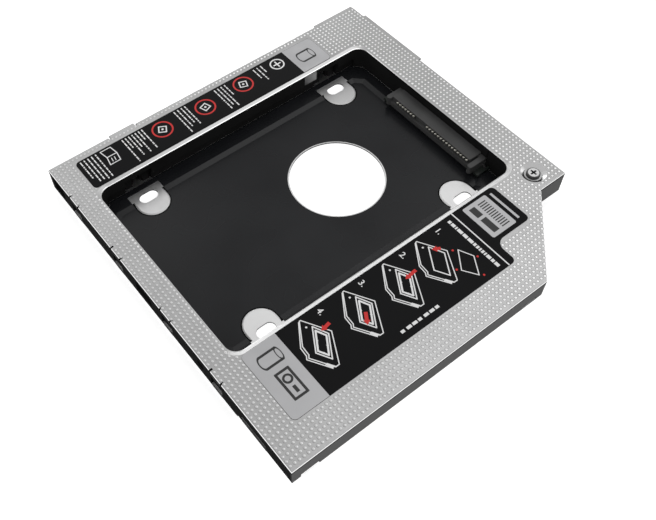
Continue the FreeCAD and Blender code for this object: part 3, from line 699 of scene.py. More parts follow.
@dataclass(frozen=True)
class Laminate:
    """Circuit board laminate under a lacquer, with faint tracks."""

    name: str
    colour: Colour = (0.012, 0.015, 0.013, 1.0)
    roughness: float = 0.3
    track_scale: float = 420.0
    track_gap: float = 0.06
    lacquer_scale: float = 1200.0

    def build(self) -> bpy.types.Material:
        """Make the material.

        Returns:
            The finished material.
        """
        desk = NodeDesk(self.name)
        turned = desk.out("ShaderNodeMapping", {"Vector": desk.place, "Rotation": (0.0, 0.0, math.pi / 2)})
        tracks = desk.out("ShaderNodeTexBrick", {
            "Vector": turned, "Scale": self.track_scale, "Mortar Size": self.track_gap,
            "Color1": self.colour, "Color2": scaled(self.colour, 0.9), "Mortar": scaled(self.colour, 1.9),
        })
        desk.relief(desk.noise(self.lacquer_scale), 0.01, 0.3)
        return desk.shade({"Base Color": tracks, "Roughness": self.roughness})


def rounded_outline(plan: Plan, corner: float, square: SquareEnd = SquareEnd.NEITHER) -> list[Point]:
    """Corners of a rectangle with rounded corners, counter-clockwise.

    Args:
        plan: The rectangle.
        corner: Corner radius.
        square: End whose corners stay square.

    Returns:
        The outline's points.
    """
    points: list[Point] = []
    left, right, front, rear = plan
    corners = ((right, front, -1, 1, 270), (right, rear, -1, -1, 0), (left, rear, 1, -1, 90),
               (left, front, 1, 1, 180))
    for x, y, side_x, side_y, start in corners:
        if (square is SquareEnd.FRONT and y == front) or (square is SquareEnd.REAR and y == rear):
            points.append((x, y))
            continue
        for step in range(CORNER_STEPS + 1):
            points.append(round_of((x + side_x * corner, y + side_y * corner), corner,
                                   start + step * 90 / CORNER_STEPS))
    return points


@dataclass
class Press:
    """Gathers the flat shapes of one ink and makes them as one thin mesh."""

    name: str
    finish: bpy.types.Material
    base_z: float = LABEL_TOP - 0.016
    depth: float = 0.02
    layer: float = 0.0006
    layers: int = 8
    word_gap: float = 0.32
    word_lengths: Point = (0.5, 1.9)
    word_end: float = 0.3
    overshoot: float = 0.35
    outlines: list[list[Point]] = field(default_factory=list)

    def area(self, points: list[Point]) -> None:
        """Add a filled outline."""
        self.outlines.append(points)

    def bar(self, left: float, right: float, front: float, rear: float) -> None:
        """Add a filled rectangle."""
        self.area([(left, front), (right, front), (right, rear), (left, rear)])

    def stroke(self, points: list[Point], width: float, closed: bool = False) -> None:
        """Draw a line through points.

        Args:
            points: Corners of the line.
            width: Width of the line in millimetres.
            closed: Join the last point to the first.
        """
        ends = points[1:] + points[:1] if closed else points[1:]
        for start, end in zip(points, ends):
            along = (Vector(end) - Vector(start)).normalized()
            side = Vector((-along.y, along.x)) * (width / 2)
            reach = along * (width * self.overshoot)
            first, last = Vector(start) - reach, Vector(end) + reach
            self.area([tuple(first - side), tuple(last - side), tuple(last + side), tuple(first + side)])

    def ring(self, centre: Point, radius: float, width: float, start: float = 0.0, turn: float = 360.0,
             squash: float = 1.0, sides: int = 40) -> None:
        """Draw a ring or an arc.

        Args:
            centre: Centre of the ring.
            radius: Radius of its middle line.
            width: Width of its line.
            start: Angle that it starts at, in degrees.
            turn: Angle that it covers, in degrees.
            squash: Height of the ring over its width.
            sides: Steps round a full turn.
        """
        steps = round(sides * turn / 360)
        for index in range(steps):
            self.area([round_of(centre, radius + side * width / 2, start + turn * step / steps, squash)
                       for step, side in ((index, -1), (index, 1), (index + 1, 1), (index + 1, -1))])

    def disc(self, centre: Point, radius: float, sides: int = 24) -> None:
        """Add a filled disc."""
        self.area([round_of(centre, radius, 360 * k / sides) for k in range(sides)])

    def words(self, left: float, right: float, y: float, height: float, seed: int) -> None:
        """Add a row of short bars in place of a line of small lettering.

        Args:
            left: Start of the row.
            right: End of the row.
            y: Middle of the row.
            height: Height of the bars.
            seed: Seed of the bars' lengths.
        """
        dice = random.Random(seed)
        x = left
        while x < right - self.word_end:
            length = min(dice.uniform(*self.word_lengths), right - x)
            self.bar(x, x + length, y - height / 2, y + height / 2)
            x += length + self.word_gap

    def make(self, slot: str) -> bpy.types.Object:
        """Make the gathered shapes as one piece.

        Args:
            slot: Name of a material slot; not used.

        Returns:
            The piece, riding on the body.
        """
        mesh = bmesh.new()
        for number, outline in enumerate(self.outlines):
            level = self.base_z + number % self.layers * self.layer
            turned = sum(a[0] * b[1] - b[0] * a[1] for a, b in zip(outline, outline[1:] + outline[:1]))
            ordered = outline if turned > 0 else outline[::-1]
            low = [mesh.verts.new(at(x, y, level)) for x, y in ordered]
            high = [mesh.verts.new(at(x, y, level + self.depth)) for x, y in ordered]
            mesh.faces.new(high)
            mesh.faces.new(low[::-1])
            for index in range(len(ordered)):
                after = (index + 1) % len(ordered)
                mesh.faces.new((low[index], low[after], high[after], high[index]))
        piece = piece_of(self.name, mesh, self.finish)
        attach(piece, BODY)
        return piece


@dataclass
class InkSet:
    """The inks of one label, each gathered in its own press."""

    label: str
    finishes: dict[Ink, bpy.types.Material]
    silver_depth: float = 0.0195
    red_depth: float = 0.0105

    def __post_init__(self) -> None:
        """Set up one press for each ink."""
        self.presses = {ink: Press(f"{self.label}_{ink.value}_print", finish)
                        for ink, finish in self.finishes.items()}
        self.presses[Ink.SILVER].base_z = LABEL_TOP - self.silver_depth
        self.presses[Ink.RED].base_z = LABEL_TOP - self.red_depth

    def __getitem__(self, ink: Ink) -> Press:
        """The press of one ink."""
        return self.presses[ink]

    def make(self) -> list[bpy.types.Object]:
        """Make every ink that has shapes."""
        return [press.make("label_print") for press in self.presses.values() if press.outlines]


def drum(press: Press, centre: Point, width: float, height: float, line: float = 0.72,
         squash: float = 0.36) -> None:
    """Draw a plain upright drum, a common sign for storage.

    Args:
        press: Ink to draw with.
        centre: Middle of the drum.
        width: Its width.
        height: Its height.
        line: Width of the line.
        squash: How far its ends are turned towards the viewer.
    """
    x, y = centre
    half = width / 2
    top = y + height / 2 - half * squash
    low = y - height / 2 + half * squash
    press.ring((x, top), half, line, squash=squash)
    press.ring((x, low), half, line, start=180, turn=180, squash=squash * 1.4)
    for side in (-half, half):
        press.stroke([(x + side, top), (x + side, low)], line)


@dataclass
class LeftLabel:
    """Long black label with a silver end, and generic shapes in place of its words and signs."""

    silver: Plan = Plan(LEFT_LABEL.left + 0.05, LEFT_LABEL.right - 0.05, 88.0, LEFT_LABEL.rear - 0.05)
    silver_corner: float = 1.45
    drum_at: Point = (9.5, 93.7)
    drum_size: Point = (4.3, 5.9)
    row_height: float = 0.4
    rows: tuple[Place, ...] = (
        (78.3, 4.1, 8.0), (76.8, 4.1, 10.9), (75.3, 4.1, 9.1),
        (63.6, 3.9, 9.9), (62.2, 3.9, 14.8), (60.9, 3.9, 13.4), (59.6, 3.9, 14.4),
        (47.9, 3.8, 13.3), (46.6, 3.8, 11.9), (45.2, 3.8, 12.7), (43.8, 3.8, 14.7),
        (31.5, 3.8, 13.9), (30.3, 3.8, 8.1), (29.1, 3.8, 13.9), (27.9, 3.8, 10.3),
        (26.7, 3.8, 13.3), (25.5, 3.8, 8.8), (24.3, 3.8, 14.8),
        (14.6, 3.8, 14.8), (13.2, 3.8, 14.8), (11.9, 3.8, 14.8), (10.6, 3.8, 14.2), (9.3, 3.8, 12.2),
    )
    rings: tuple[Point, ...] = ((7.5, 68.8), (8.3, 53.1), (7.9, 36.9))
    ring_radius: float = 3.25
    ring_line: float = 0.55
    diamond_reach: float = 1.7
    diamond_line: float = 0.4
    diamond_start: float = 25.0
    diamond_turn: float = 40.0
    cross: Point = (6.9, 83.3)
    cross_radius: float = 2.3
    cross_reach: float = 1.3
    cross_line: float = 0.5
    book: tuple[Point, ...] = ((4.0, 16.3), (7.2, 16.9), (10.4, 16.3), (10.4, 19.9), (7.2, 20.4),
                               (4.0, 19.9))
    book_line: float = 0.32
    book_text: tuple[tuple[Point, Point], ...] = (((8.2, 18.9), (9.6, 18.7)), ((8.2, 17.9), (9.6, 17.7)))
    book_text_line: float = 0.26

    def print_on(self, inks: InkSet) -> None:
        """Lay out the label's print.

        Args:
            inks: Presses to draw with.
        """
        inks[Ink.SILVER].area(rounded_outline(self.silver, self.silver_corner, SquareEnd.FRONT))
        drum(inks[Ink.BLACK], self.drum_at, *self.drum_size)
        for index, (y, start, end) in enumerate(self.rows):
            inks[Ink.WHITE].words(start, end, y, self.row_height, index)
        self.draw_signs(inks)

    def draw_signs(self, inks: InkSet) -> None:
        """Draw the plain signs between the rows.

        Args:
            inks: Presses to draw with.
        """
        white = inks[Ink.WHITE]
        for index, (x, y) in enumerate(self.rings):
            inks[Ink.RED].ring((x, y), self.ring_radius, self.ring_line)
            start = self.diamond_start + self.diamond_turn * index
            white.stroke([round_of((x, y), self.diamond_reach, start + 90 * k) for k in range(4)],
                         self.diamond_line, closed=True)
            white.disc((x, y), self.diamond_line)
        x, y = self.cross
        reach = self.cross_reach
        white.ring(self.cross, self.cross_radius, self.cross_line)
        white.stroke([(x - reach, y), (x + reach, y)], self.cross_line)
        white.stroke([(x, y - reach), (x, y + reach)], self.cross_line)
        white.stroke(list(self.book), self.book_line, closed=True)
        white.stroke([self.book[1], self.book[4]], self.book_line)
        for row in self.book_text:
            white.stroke(list(row), self.book_text_line)


@dataclass
class StepDrawing:
    """One of the small line drawings of a caddy on the right label."""

    left: float
    middle_y: float
    line: float = 0.3
    opening_line: float = 0.36
    drive_line: float = 0.52
    hole_radius: float = 0.34
    eye_radius: float = 0.3
    arrow_half: float = 0.52
    arrow_head: float = 1.5
    caddy: tuple[Point, ...] = ((0.0, 0.2), (7.6, 4.7), (16.5, 0.0), (16.5, -1.2), (10.3, -5.1), (9.5, -4.5),
                                (6.6, -4.3), (0.0, -0.2))
    lower: tuple[Point, ...] = ((0.2, -0.6), (6.7, -5.0), (9.4, -5.2), (10.3, -5.8), (16.4, -2.0))
    opening: tuple[Point, ...] = ((3.4, 1.5), (7.7, 3.6), (14.2, -0.4), (10.2, -2.7))
    drive: tuple[Point, ...] = ((4.9, 1.4), (7.8, 2.8), (12.8, -0.4), (10.1, -1.9))
    holes: tuple[Point, ...] = ((6.3, 2.1), (10.3, 1.2), (11.5, -1.1), (7.5, -0.2))
    block: tuple[Point, ...] = ((14.2, -2.3), (16.3, -1.0), (16.3, -1.9), (14.4, -3.0))
    eye: tuple[Point, ...] = ((2.6, 0.1),)

    def moved(self, points: tuple[Point, ...]) -> list[Point]:
        """Move points from the drawing's left tip to its place on the label."""
        return [(self.left + x, self.middle_y + y) for x, y in points]

    def draw(self, inks: InkSet, arrow: tuple[Point, Point], with_drive: bool) -> None:
        """Draw the caddy, its opening and a red arrow.

        Args:
            inks: Presses to draw with.
            arrow: Tail and tip of the arrow, from the drawing's left tip.
            with_drive: Draw the drive in the opening.
        """
        white = inks[Ink.WHITE]
        white.stroke(self.moved(self.caddy), self.line, closed=True)
        white.stroke(self.moved(self.lower), self.line)
        white.stroke(self.moved(self.opening), self.opening_line, closed=True)
        if with_drive:
            white.stroke(self.moved(self.drive), self.drive_line, closed=True)
            for centre in self.moved(self.holes):
                white.disc(centre, self.hole_radius, 8)
        white.area(self.moved(self.block))
        white.disc(self.moved(self.eye)[0], self.eye_radius)
        tail, tip = (Vector(point) for point in self.moved(arrow))
        along = (tip - tail).normalized()
        side = Vector((-along.y, along.x)) * self.arrow_half
        neck = tip - along * self.arrow_head
        inks[Ink.RED].area([tuple(point) for point in (
            tail - side, neck - side, neck - side * 2, tip, neck + side * 2, neck + side, tail + side)])


@dataclass
class RightLabel:
    """Wide black label with four step drawings, a silver end and generic shapes."""

    silver: Plan = Plan(RIGHT_LABEL.left + 0.1, RIGHT_LABEL.right - 0.05, RIGHT_LABEL.front + 0.05, 20.0)
    silver_corner: float = 1.45
    drum_at: Point = (94.3, 14.7)
    drum_size: Point = (4.0, 6.6)
    case: tuple[Point, ...] = ((99.0, 12.6), (107.4, 12.6), (107.4, 16.6), (99.0, 16.6))
    case_line: float = 0.75
    case_eye: Place = (101.6, 14.6, 1.15)
    case_eye_line: float = 0.65
    case_mark: Plan = Plan(104.0, 106.2, 14.1, 15.1)
    rule: Plan = Plan(88.9, 111.9, 84.2, 84.6)
    heading: Plan = Plan(90.4, 110.4, 81.375, 82.425)
    heading_seed: int = 71
    steps_left: float = 90.1
    steps: tuple[tuple[int, float, tuple[Point, Point]], ...] = (
        (1, 69.6, ((5.9, 3.9), (4.6, 1.6))),
        (2, 57.2, ((7.0, 5.8), (7.5, 1.5))),
        (3, 42.7, ((8.7, 0.5), (12.1, -1.7))),
        (4, 27.6, ((5.3, 5.9), (5.9, 2.6))),
    )
    loose_drive: tuple[Point, ...] = ((99.4, 76.9), (103.6, 78.9), (109.1, 75.5), (105.0, 72.8))
    loose_screws: tuple[Point, ...] = ((98.6, 75.6), (104.4, 79.6), (109.9, 76.6), (104.0, 71.9))
    loose_line: float = 0.3
    loose_radius: float = 0.35
    dashes: Plan = Plan(109.0, 109.9, 46.4, 60.0)
    dash_pitch: float = 2.05
    dash_lengths: Place = (1.2, 1.6, 1.6)
    socket_field: Plan = Plan(89.9, 102.7, 87.7, 97.0)
    socket_bars: tuple[Plan, ...] = (Plan(91.2, 94.9, 89.2, 91.4), Plan(95.9, 101.4, 89.2, 91.4))
    socket_corner: float = 0.6
    socket_line: Plan = Plan(90.6, 102.0, 98.2, 99.0)
    comb: Plan = Plan(91.3, 91.7, 92.6, 95.6)
    comb_pitch: float = 0.88
    comb_teeth: int = 12

    def print_on(self, inks: InkSet) -> None:
        """Lay out the label's print.

        Args:
            inks: Presses to draw with.
        """
        black = inks[Ink.BLACK]
        white = inks[Ink.WHITE]
        inks[Ink.SILVER].area(rounded_outline(self.silver, self.silver_corner, SquareEnd.REAR))
        drum(black, self.drum_at, *self.drum_size)
        black.stroke(list(self.case), self.case_line, closed=True)
        black.ring(self.case_eye[:2], self.case_eye[2], self.case_eye_line)
        black.bar(*self.case_mark)
        white.bar(*self.rule)
        white.words(self.heading.left, self.heading.right, (self.heading.front + self.heading.rear) / 2,
                    self.heading.rear - self.heading.front, self.heading_seed)
        for number, middle_y, arrow in self.steps:
            StepDrawing(self.steps_left, middle_y).draw(inks, arrow, with_drive=number > 1)
        white.stroke(list(self.loose_drive), self.loose_line, closed=True)
        for centre in self.loose_screws:
            inks[Ink.RED].disc(centre, self.loose_radius, 12)
        left, right, front, rear = self.dashes
        for index in range(math.ceil((rear - front) / self.dash_pitch)):
            start = front + index * self.dash_pitch
            white.bar(left, right, start, start + self.dash_lengths[index % 3])
        self.draw_socket_sign(inks)

    def draw_socket_sign(self, inks: InkSet) -> None:
        """Draw a plain sign of a two part socket in the label's narrow end.

        Args:
            inks: Presses to draw with.
        """
        inks[Ink.SILVER].area(rounded_outline(self.socket_field, self.socket_corner))
        inks[Ink.SILVER].bar(*self.socket_line)
        black = inks[Ink.BLACK]
        for plan in self.socket_bars:
            black.bar(*plan)
        left, right, front, rear = self.comb
        for index in range(self.comb_teeth):
            black.bar(left + index * self.comb_pitch, right + index * self.comb_pitch, front, rear)


@dataclass
class Numerals:
    """Step numbers on the right label."""

    size: float = 2.7
    bolder: float = 0.03
    thickness: float = 0.01
    sunk: float = 0.002
    left: float = 90.3
    rows: tuple[tuple[str, float], ...] = (("1.", 76.3), ("2.", 62.7), ("3.", 47.6), ("4.", 32.9))

    def make(self, finish: bpy.types.Material) -> bpy.types.Object:
        """Set the numbers in a plain type and join them as one piece.

        Args:
            finish: Ink of the numbers.

        Returns:
            The piece, riding on the body.
        """
        joined = bmesh.new()
        for text, y in self.rows:
            curve = bpy.data.curves.new("numeral", "FONT")
            curve.body = text
            curve.size = self.size * MM
            curve.extrude = self.thickness * MM
            curve.offset = self.bolder * MM
            curve.resolution_u = 4
            data = mesh_of(curve)
            data.transform(Matrix.Translation(at(self.left, y, LABEL_TOP - self.sunk)))
            joined.from_mesh(data)
            bpy.data.meshes.remove(data)
        bmesh.ops.remove_doubles(joined, verts=joined.verts, dist=1e-7)
        piece = piece_of("right_label_numerals", joined, finish)
        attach(piece, BODY)
        return piece


@dataclass
class DimpleField:
    """Rows of small embossed dimples all over the cover's flat areas."""

    pitch_x: float = 1.45
    pitch_y: float = 1.43
    shift_x: float = -0.6
    shift_y: float = -0.45
    reach: float = 126.0
    radius: float = 0.54
    height: float = 0.085
    sides: int = 8
    rings: tuple[tuple[float, float, float, float], ...] = (
        (1.0, 0.7, 0.0, 0.32), (0.7, 0.38, 0.32, 0.76), (0.38, 0.0, 0.76, 1.0),
    )
    edge: float = 0.62
    side_margin: float = 1.75
    end_margin: float = 0.72
    label_margin: float = 0.45
    label_corner: float = 1.5
    hole_gap: float = 0.02
    drop: float = 1.0
    weld: float = 0.002
    dish: Place = (92.8, 114.7, 4.3)

    def mask(self) -> bpy.types.Object:
        """Flat area that carries dimples: the cover's plan with its openings left out.

        Returns:
            A mesh object at the cover's height.
        """
        edge, side, end, label = self.edge, self.side_margin, self.end_margin, self.label_margin
        far = COVER_SIDE - edge
        cut_x, cut_y = CUT_END
        cover = [(edge, edge), (far, edge), (far, CUT_START - edge * 0.4),
                 (cut_x + edge * 0.2, cut_y - edge * 0.2), (cut_x - edge, cut_y + edge),
                 (cut_x - edge, far), (edge, far)]
        gap = self.hole_gap
        left, right, front, rear = WINDOW
        holes = [
            rounded_outline(Plan(left - side, right + side, front - end, rear + end), WINDOW_CORNER + end),
            *(rounded_outline(plan, self.label_corner) for plan in (
                Plan(LEFT_LABEL.left - label, left - side - gap, LEFT_LABEL.front - label,
                     LEFT_LABEL.rear + label),
                Plan(right + side + gap, RIGHT_LABEL.right + label, RIGHT_LABEL.front - label,
                     RIGHT_LABEL.rear + label),
                Plan(right + side + gap, RIGHT_LABEL_END.right + label, RIGHT_LABEL_END.front + gap + label,
                     RIGHT_LABEL_END.rear + label),
            )),
            [round_of(self.dish[:2], self.dish[2], angle) for angle in range(0, 360, 12)],
        ]
        curve = bpy.data.curves.new("dimple_area", "CURVE")
        curve.dimensions = "2D"
        curve.fill_mode = "BOTH"
        for outline in [cover] + holes:
            spline = curve.splines.new("POLY")
            spline.points.add(len(outline) - 1)
            for point, (x, y) in zip(spline.points, outline):
                point.co = (*at(x, y), 1.0)
            spline.use_cyclic_u = True
        data = mesh_of(curve)
        data.transform(Matrix.Translation((0.0, 0.0, COVER_TOP * MM)))
        area = bpy.data.objects.new("cover_dimples", data)
        bpy.context.scene.collection.objects.link(area)
        return area

    def spots(self, graph: Graph, given: bpy.types.NodeOutputs) -> tuple[Socket, Socket]:
        """Lay a grid of points on the cover's surface, and keep those over the area.

        Args:
            graph: Tree to add the nodes to.
            given: The tree's inputs.

        Returns:
            The points, and the tilt of the surface under each.
        """
        sizes: dict[str | int, object] = {}
        for axis in "XY":
            pitch = given[f"Pitch {axis}"]
            count = graph.math("ROUND", graph.math("DIVIDE", given["Reach"], pitch))
            sizes[f"Vertices {axis}"] = graph.math("ADD", count, 1.0)
            sizes[f"Size {axis}"] = graph.both(count, pitch)
        grid = graph.out("GeometryNodeMeshGrid", sizes)
        shift = graph.out("ShaderNodeCombineXYZ", {"X": given["Shift X"], "Y": given["Shift Y"],
                                                   "Z": given["Level"]})
        placed = graph.out("GeometryNodeTransform", {"Geometry": grid, "Translation": shift})
        here = graph.out("GeometryNodeInputPosition")
        over = graph.out("ShaderNodeVectorMath", {0: here, 1: (0.0, 0.0, self.drop * MM)}, operation="ADD")
        cover = graph.node("GeometryNodeObjectInfo", {"Object": given["Cover"]}, transform_space="RELATIVE")
        in_area, on_cover = (graph.node("GeometryNodeRaycast", {
            "Target Geometry": target, "Source Position": over,
            "Ray Direction": (0.0, 0.0, -1.0), "Ray Length": 2 * self.drop * MM,
        }).outputs for target in (given["Area"], cover.outputs["Geometry"]))
        missed = graph.out("FunctionNodeBooleanMath", {0: in_area["Is Hit"], 1: on_cover["Is Hit"]},
                           operation="NAND")
        landed = graph.out("GeometryNodeSetPosition", {"Geometry": placed,
                                                       "Position": on_cover["Hit Position"]})
        kept = graph.out("GeometryNodeDeleteGeometry", {"Geometry": landed, "Selection": missed})
        tilt = graph.out("FunctionNodeAlignRotationToVector", {"Vector": on_cover["Hit Normal"]}, axis="Z")
        return kept, tilt

    def dome(self, graph: Graph, given: bpy.types.NodeOutputs) -> Socket:
        """Stack the rings of one dimple.

        Args:
            graph: Tree to add the nodes to.
            given: The tree's inputs.

        Returns:
            The dimple's geometry.
        """
        stack = graph.node("GeometryNodeJoinGeometry")
        for low, high, start, end in self.rings:
            cone = graph.out("GeometryNodeMeshCone", {
                "Vertices": self.sides, "Depth": graph.both(given["Height"], end - start),
                "Radius Bottom": graph.both(given["Radius"], low),
                "Radius Top": graph.both(given["Radius"], high),
            }, fill_type="NONE")
            lift = graph.out("ShaderNodeCombineXYZ", {"Z": graph.both(given["Height"], start)})
            raised = graph.out("GeometryNodeTransform", {"Geometry": cone, "Translation": lift})
            graph.feed(stack.inputs[0], raised)
        return graph.out("GeometryNodeMergeByDistance", {"Geometry": stack.outputs[0],
                                                         "Distance": self.weld * MM})

    def tree(self) -> bpy.types.GeometryNodeTree:
        """Node tree that fills the area it is given with rows of dimples.

        Returns:
            The tree, with named inputs for its sizes.
        """
        tree = bpy.data.node_groups.new("dimple_rows", "GeometryNodeTree")
        sizes = ("Pitch X", "Pitch Y", "Shift X", "Shift Y", "Radius", "Height", "Reach", "Level")
        for name, kind in (("Area", "Geometry"), *((size, "Float") for size in sizes), ("Cover", "Object"),
                           ("Finish", "Material")):
            tree.interface.new_socket(name, in_out="INPUT", socket_type=f"NodeSocket{kind}")
        tree.interface.new_socket("Dimples", in_out="OUTPUT", socket_type="NodeSocketGeometry")
        graph = Graph(tree)
        given = graph.node("NodeGroupInput").outputs
        points, tilt = self.spots(graph, given)
        rows = graph.out("GeometryNodeInstanceOnPoints", {"Points": points, "Rotation": tilt,
                                                          "Instance": self.dome(graph, given)})
        real = graph.out("GeometryNodeRealizeInstances", {0: rows})
        smooth = graph.out("GeometryNodeSetShadeSmooth", {"Geometry": real})
        dressed = graph.out("GeometryNodeSetMaterial", {"Geometry": smooth, "Material": given["Finish"]})
        graph.node("NodeGroupOutput", {0: dressed})
        return tree

    def make(self, finish: bpy.types.Material) -> bpy.types.Object:
        """Make the dimples as one piece.

        Args:
            finish: The metal on the dimples.

        Returns:
            The piece, riding on the body.
        """
        area = self.mask()
        modifier = area.modifiers.new("dimples", "NODES")
        modifier.node_group = self.tree()
        sizes = {"Pitch X": self.pitch_x, "Pitch Y": self.pitch_y, "Shift X": self.shift_x,
                 "Shift Y": self.shift_y, "Radius": self.radius, "Height": self.height,
                 "Reach": self.reach, "Level": COVER_TOP}
        values = {name: size * MM for name, size in sizes.items()}
        values |= {"Cover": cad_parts["top_cover"], "Finish": finish}
        for item in modifier.node_group.interface.items_tree:
            if item.in_out == "INPUT" and item.name in values:
                modifier[item.identifier] = values[item.name]
        bpy.context.view_layer.update()
        data = bpy.data.meshes.new_from_object(area.evaluated_get(bpy.context.evaluated_depsgraph_get()))
        area.modifiers.remove(modifier)
        area.data = data
        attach(area, BODY)
        return area


@dataclass
class Dresser:
    """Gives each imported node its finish."""

    finishes: dict[str, bpy.types.Material]

    def dress(self) -> None:
        """Assign the finishes and report each node."""
        for name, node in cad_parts.items():
            node.data.materials.clear()
            node.data.materials.append(self.finishes[name])
            LOG.info("dressed %s", name)


@dataclass(frozen=True)
class Softbox:
    """Square or oblong area light that faces the part's origin."""

    name: str
    place: Place
    size: Point
    watts: float

    def hang(self) -> None:
        """Add the light to the scene."""
        data = bpy.data.lights.new(self.name, "AREA")
        data.shape = "RECTANGLE"
        data.size, data.size_y = self.size
        data.energy = self.watts
        holder = bpy.data.objects.new(self.name, data)
        holder.location = self.place
        holder.rotation_mode = "QUATERNION"
        holder.rotation_quaternion = (-Vector(self.place)).to_track_quat("-Z", "Y")
        bpy.context.scene.collection.objects.link(holder)


@dataclass
class Studio:
    """Pale floor, soft light and the photograph's camera."""

    camera_place: Place = (0.11932, -0.10340, 0.20182)
    camera_right: Place = (0.60541, 0.79544, -0.02744)
    camera_down: Place = (0.64576, -0.51105, -0.56729)
    camera_forward: Place = (-0.46527, 0.32572, -0.82306)
    lens: float = 45.815
    sensor: float = 36.0
    shift: Point = (0.0784, 0.0038)
    clip: Point = (0.01, 20.0)
    floor_half: float = 2.0
    floor_gap: float = 0.00002
    floor_level: float = 0.8
    floor_glow: float = 0.6
    floor_roughness: float = 0.9
    world_level: float = 0.75
    ceiling_start: float = 0.2
    ceiling_end: float = 0.5
    ceiling_level: float = 0.45
    lamps: tuple[Softbox, ...] = (
        Softbox("top_light", (-0.09, 0.6, 1.15), (0.75, 0.75), 1.7),
        Softbox("left_light", (-1.08, 0.6, 0.42), (0.5, 0.4), 1.4),
        Softbox("front_light", (-0.9, 0.1, 0.95), (0.5, 0.5), 0.5),
    )

    def camera(self) -> None:
        """Place the camera at the photograph's viewpoint."""
        data = bpy.data.cameras.new("camera")
        data.lens = self.lens
        data.sensor_width = self.sensor
        data.shift_x, data.shift_y = self.shift
        data.clip_start, data.clip_end = self.clip
        holder = bpy.data.objects.new("camera", data)
        right, down, forward = (Vector(v) for v in (self.camera_right, self.camera_down, self.camera_forward))
        turn = Matrix((right, -down, -forward)).transposed()
        holder.matrix_world = Matrix.Translation(self.camera_place) @ turn.to_4x4()
        bpy.context.scene.collection.objects.link(holder)
        bpy.context.scene.camera = holder

    def floor(self) -> None:
        """Lay the pale floor, white to the camera and to what mirrors it."""
        half = self.floor_half
        data = bpy.data.meshes.new("floor")
        data.from_pydata([(-half, -half, 0), (half, -half, 0), (half, half, 0), (-half, half, 0)], [],
                         [(0, 1, 2, 3)])
        piece = bpy.data.objects.new("floor", data)
        piece.location.z = -self.floor_gap
        bpy.context.scene.collection.objects.link(piece)
        desk = NodeDesk("floor")
        seen = desk.ray_is("Is Camera Ray", "Is Glossy Ray", "Is Transmission Ray")
        data.materials.append(desk.shade({
            "Base Color": grey(self.floor_level), "Roughness": self.floor_roughness,
            "Specular IOR Level": 0.0, "Emission Color": grey(1.0),
            "Emission Strength": desk.math("MULTIPLY", seen, self.floor_glow),
        }))

    def world(self) -> None:
        """Light the scene evenly, with white behind it and a dimmer ceiling for what it mirrors."""
        world = bpy.data.worlds.new("studio")
        bpy.context.scene.world = world
        world.use_nodes = True
        graph = Graph(world.node_tree)
        height = graph.axes(graph.node("ShaderNodeTexCoord").outputs["Generated"])[2]
        ceiling = graph.span(height, self.ceiling_start, self.ceiling_end, 1.0, self.ceiling_level)
        lit = graph.level(graph.ray_is("Is Glossy Ray", "Is Transmission Ray"), self.world_level, ceiling)
        background = graph.tree.nodes["Background"]
        graph.feed(background.inputs["Color"], grey(1.0))
        graph.feed(background.inputs["Strength"], graph.level(graph.ray_is("Is Camera Ray"), lit, 1.0))

    def build(self) -> None:
        """Set up the whole studio."""
        self.camera()
        self.floor()
        self.world()
        for lamp in self.lamps:
            lamp.hang()
        bpy.context.scene.view_settings.view_transform = "Standard"


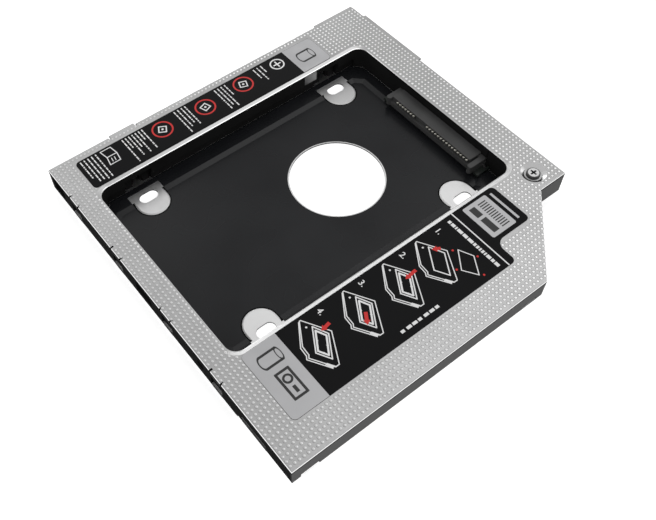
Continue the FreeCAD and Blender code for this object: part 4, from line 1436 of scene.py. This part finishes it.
def node_finishes() -> dict[str, bpy.types.Material]:
    """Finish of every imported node.

    Returns:
        Material by node name.
    """
    housing = MouldedPlastic("socket_plastic", grey(0.055), specular=0.4, depth=0.006).build()
    gold = PlatedMetal("gold_contacts", (1.0, 0.97, 0.88, 1.0), 0.4).build()
    screw = ScrewMetal("screw_steel").build()
    vinyl = GlossFilm("label_vinyl", (0.006, 0.006, 0.0065, 1.0), 0.45, specular=0.08, depth=0.01).build()
    return {
        # The fold light is a painted highlight on the cover and painted shade on the base; the wall levels
        # are painted shade.
        "top_cover": CoverMetal("embossed_cover", 0.56, 0.36, wall_shade_level=0.015, fold_painted_light=1.0).build(),
        "bottom_plate": BaseMetal("base_sheet", 0.88, 0.38, wall_shade_level=0.14, fold_painted_light=0.25).build(),
        "inner_frame": MouldedPlastic("frame_plastic", grey(0.012), 0.85, specular=0.1, ior=1.15).build(),
        "floor_film": GlossFilm("floor_film", specular=0.32).build(),
        "earthing_spring": PlatedMetal("spring_steel", grey(0.3), 0.4).build(),
        "adapter_board": Laminate("board_laminate").build(),
        "board_insulator": GlossFilm("insulator_film", (0.2, 0.13, 0.04, 1.0)).build(),
        "drive_socket_housing": housing,
        "drive_socket_signal_contacts": gold,
        "drive_socket_power_contacts": gold,
        "drive_socket_hold_downs": PlatedMetal("bright_steel", grey(0.8)).build(),
        "rear_plug_housing": housing,
        "rear_plug_signal_contacts": gold,
        "rear_plug_power_contacts": gold,
        "board_capacitors": Coat("capacitor_ceramic", (0.42, 0.27, 0.14, 1.0)).build(),
        "board_resistors": Coat("resistor_glaze", grey(0.02), 0.25).build(),
        "cover_screw": screw,
        "base_screws": screw,
        "left_label": vinyl,
        "right_label": vinyl,
    }


def ink_finishes() -> dict[Ink, bpy.types.Material]:
    """Material of each ink.

    Returns:
        Material by ink, with the fields first and the lines last.
    """
    return {
        Ink.SILVER: Coat("silver_ink", (0.54, 0.54, 0.55, 1.0), 0.4, 0.7).build(),
        Ink.WHITE: Coat("white_ink", grey(0.82)).build(),
        Ink.RED: Coat("red_ink", (0.62, 0.012, 0.01, 1.0), 0.55).build(),
        Ink.BLACK: Coat("black_ink", grey(0.02)).build(),
    }


def main() -> None:
    """Dress the caddy, print its labels and set up the studio."""
    logging.basicConfig(level=logging.INFO, format="%(name)s: %(message)s")
    Studio().build()
    Dresser(node_finishes()).dress()
    # The dimples' low level is painted shade on their flanks.
    dimples = DimpleField().make(DimpleMetal("dimple_metal", 0.32, 0.36).build())
    LOG.info("%s: %d faces", dimples.name, len(dimples.data.polygons))
    inks = ink_finishes()
    for label, layout in (("left_label", LeftLabel()), ("right_label", RightLabel())):
        ink_set = InkSet(label, inks)
        layout.print_on(ink_set)
        for piece in ink_set.make():
            LOG.info("printed %s", piece.name)
    LOG.info("printed %s", Numerals().make(inks[Ink.WHITE]).name)


if __name__ == "__main__":
    main()
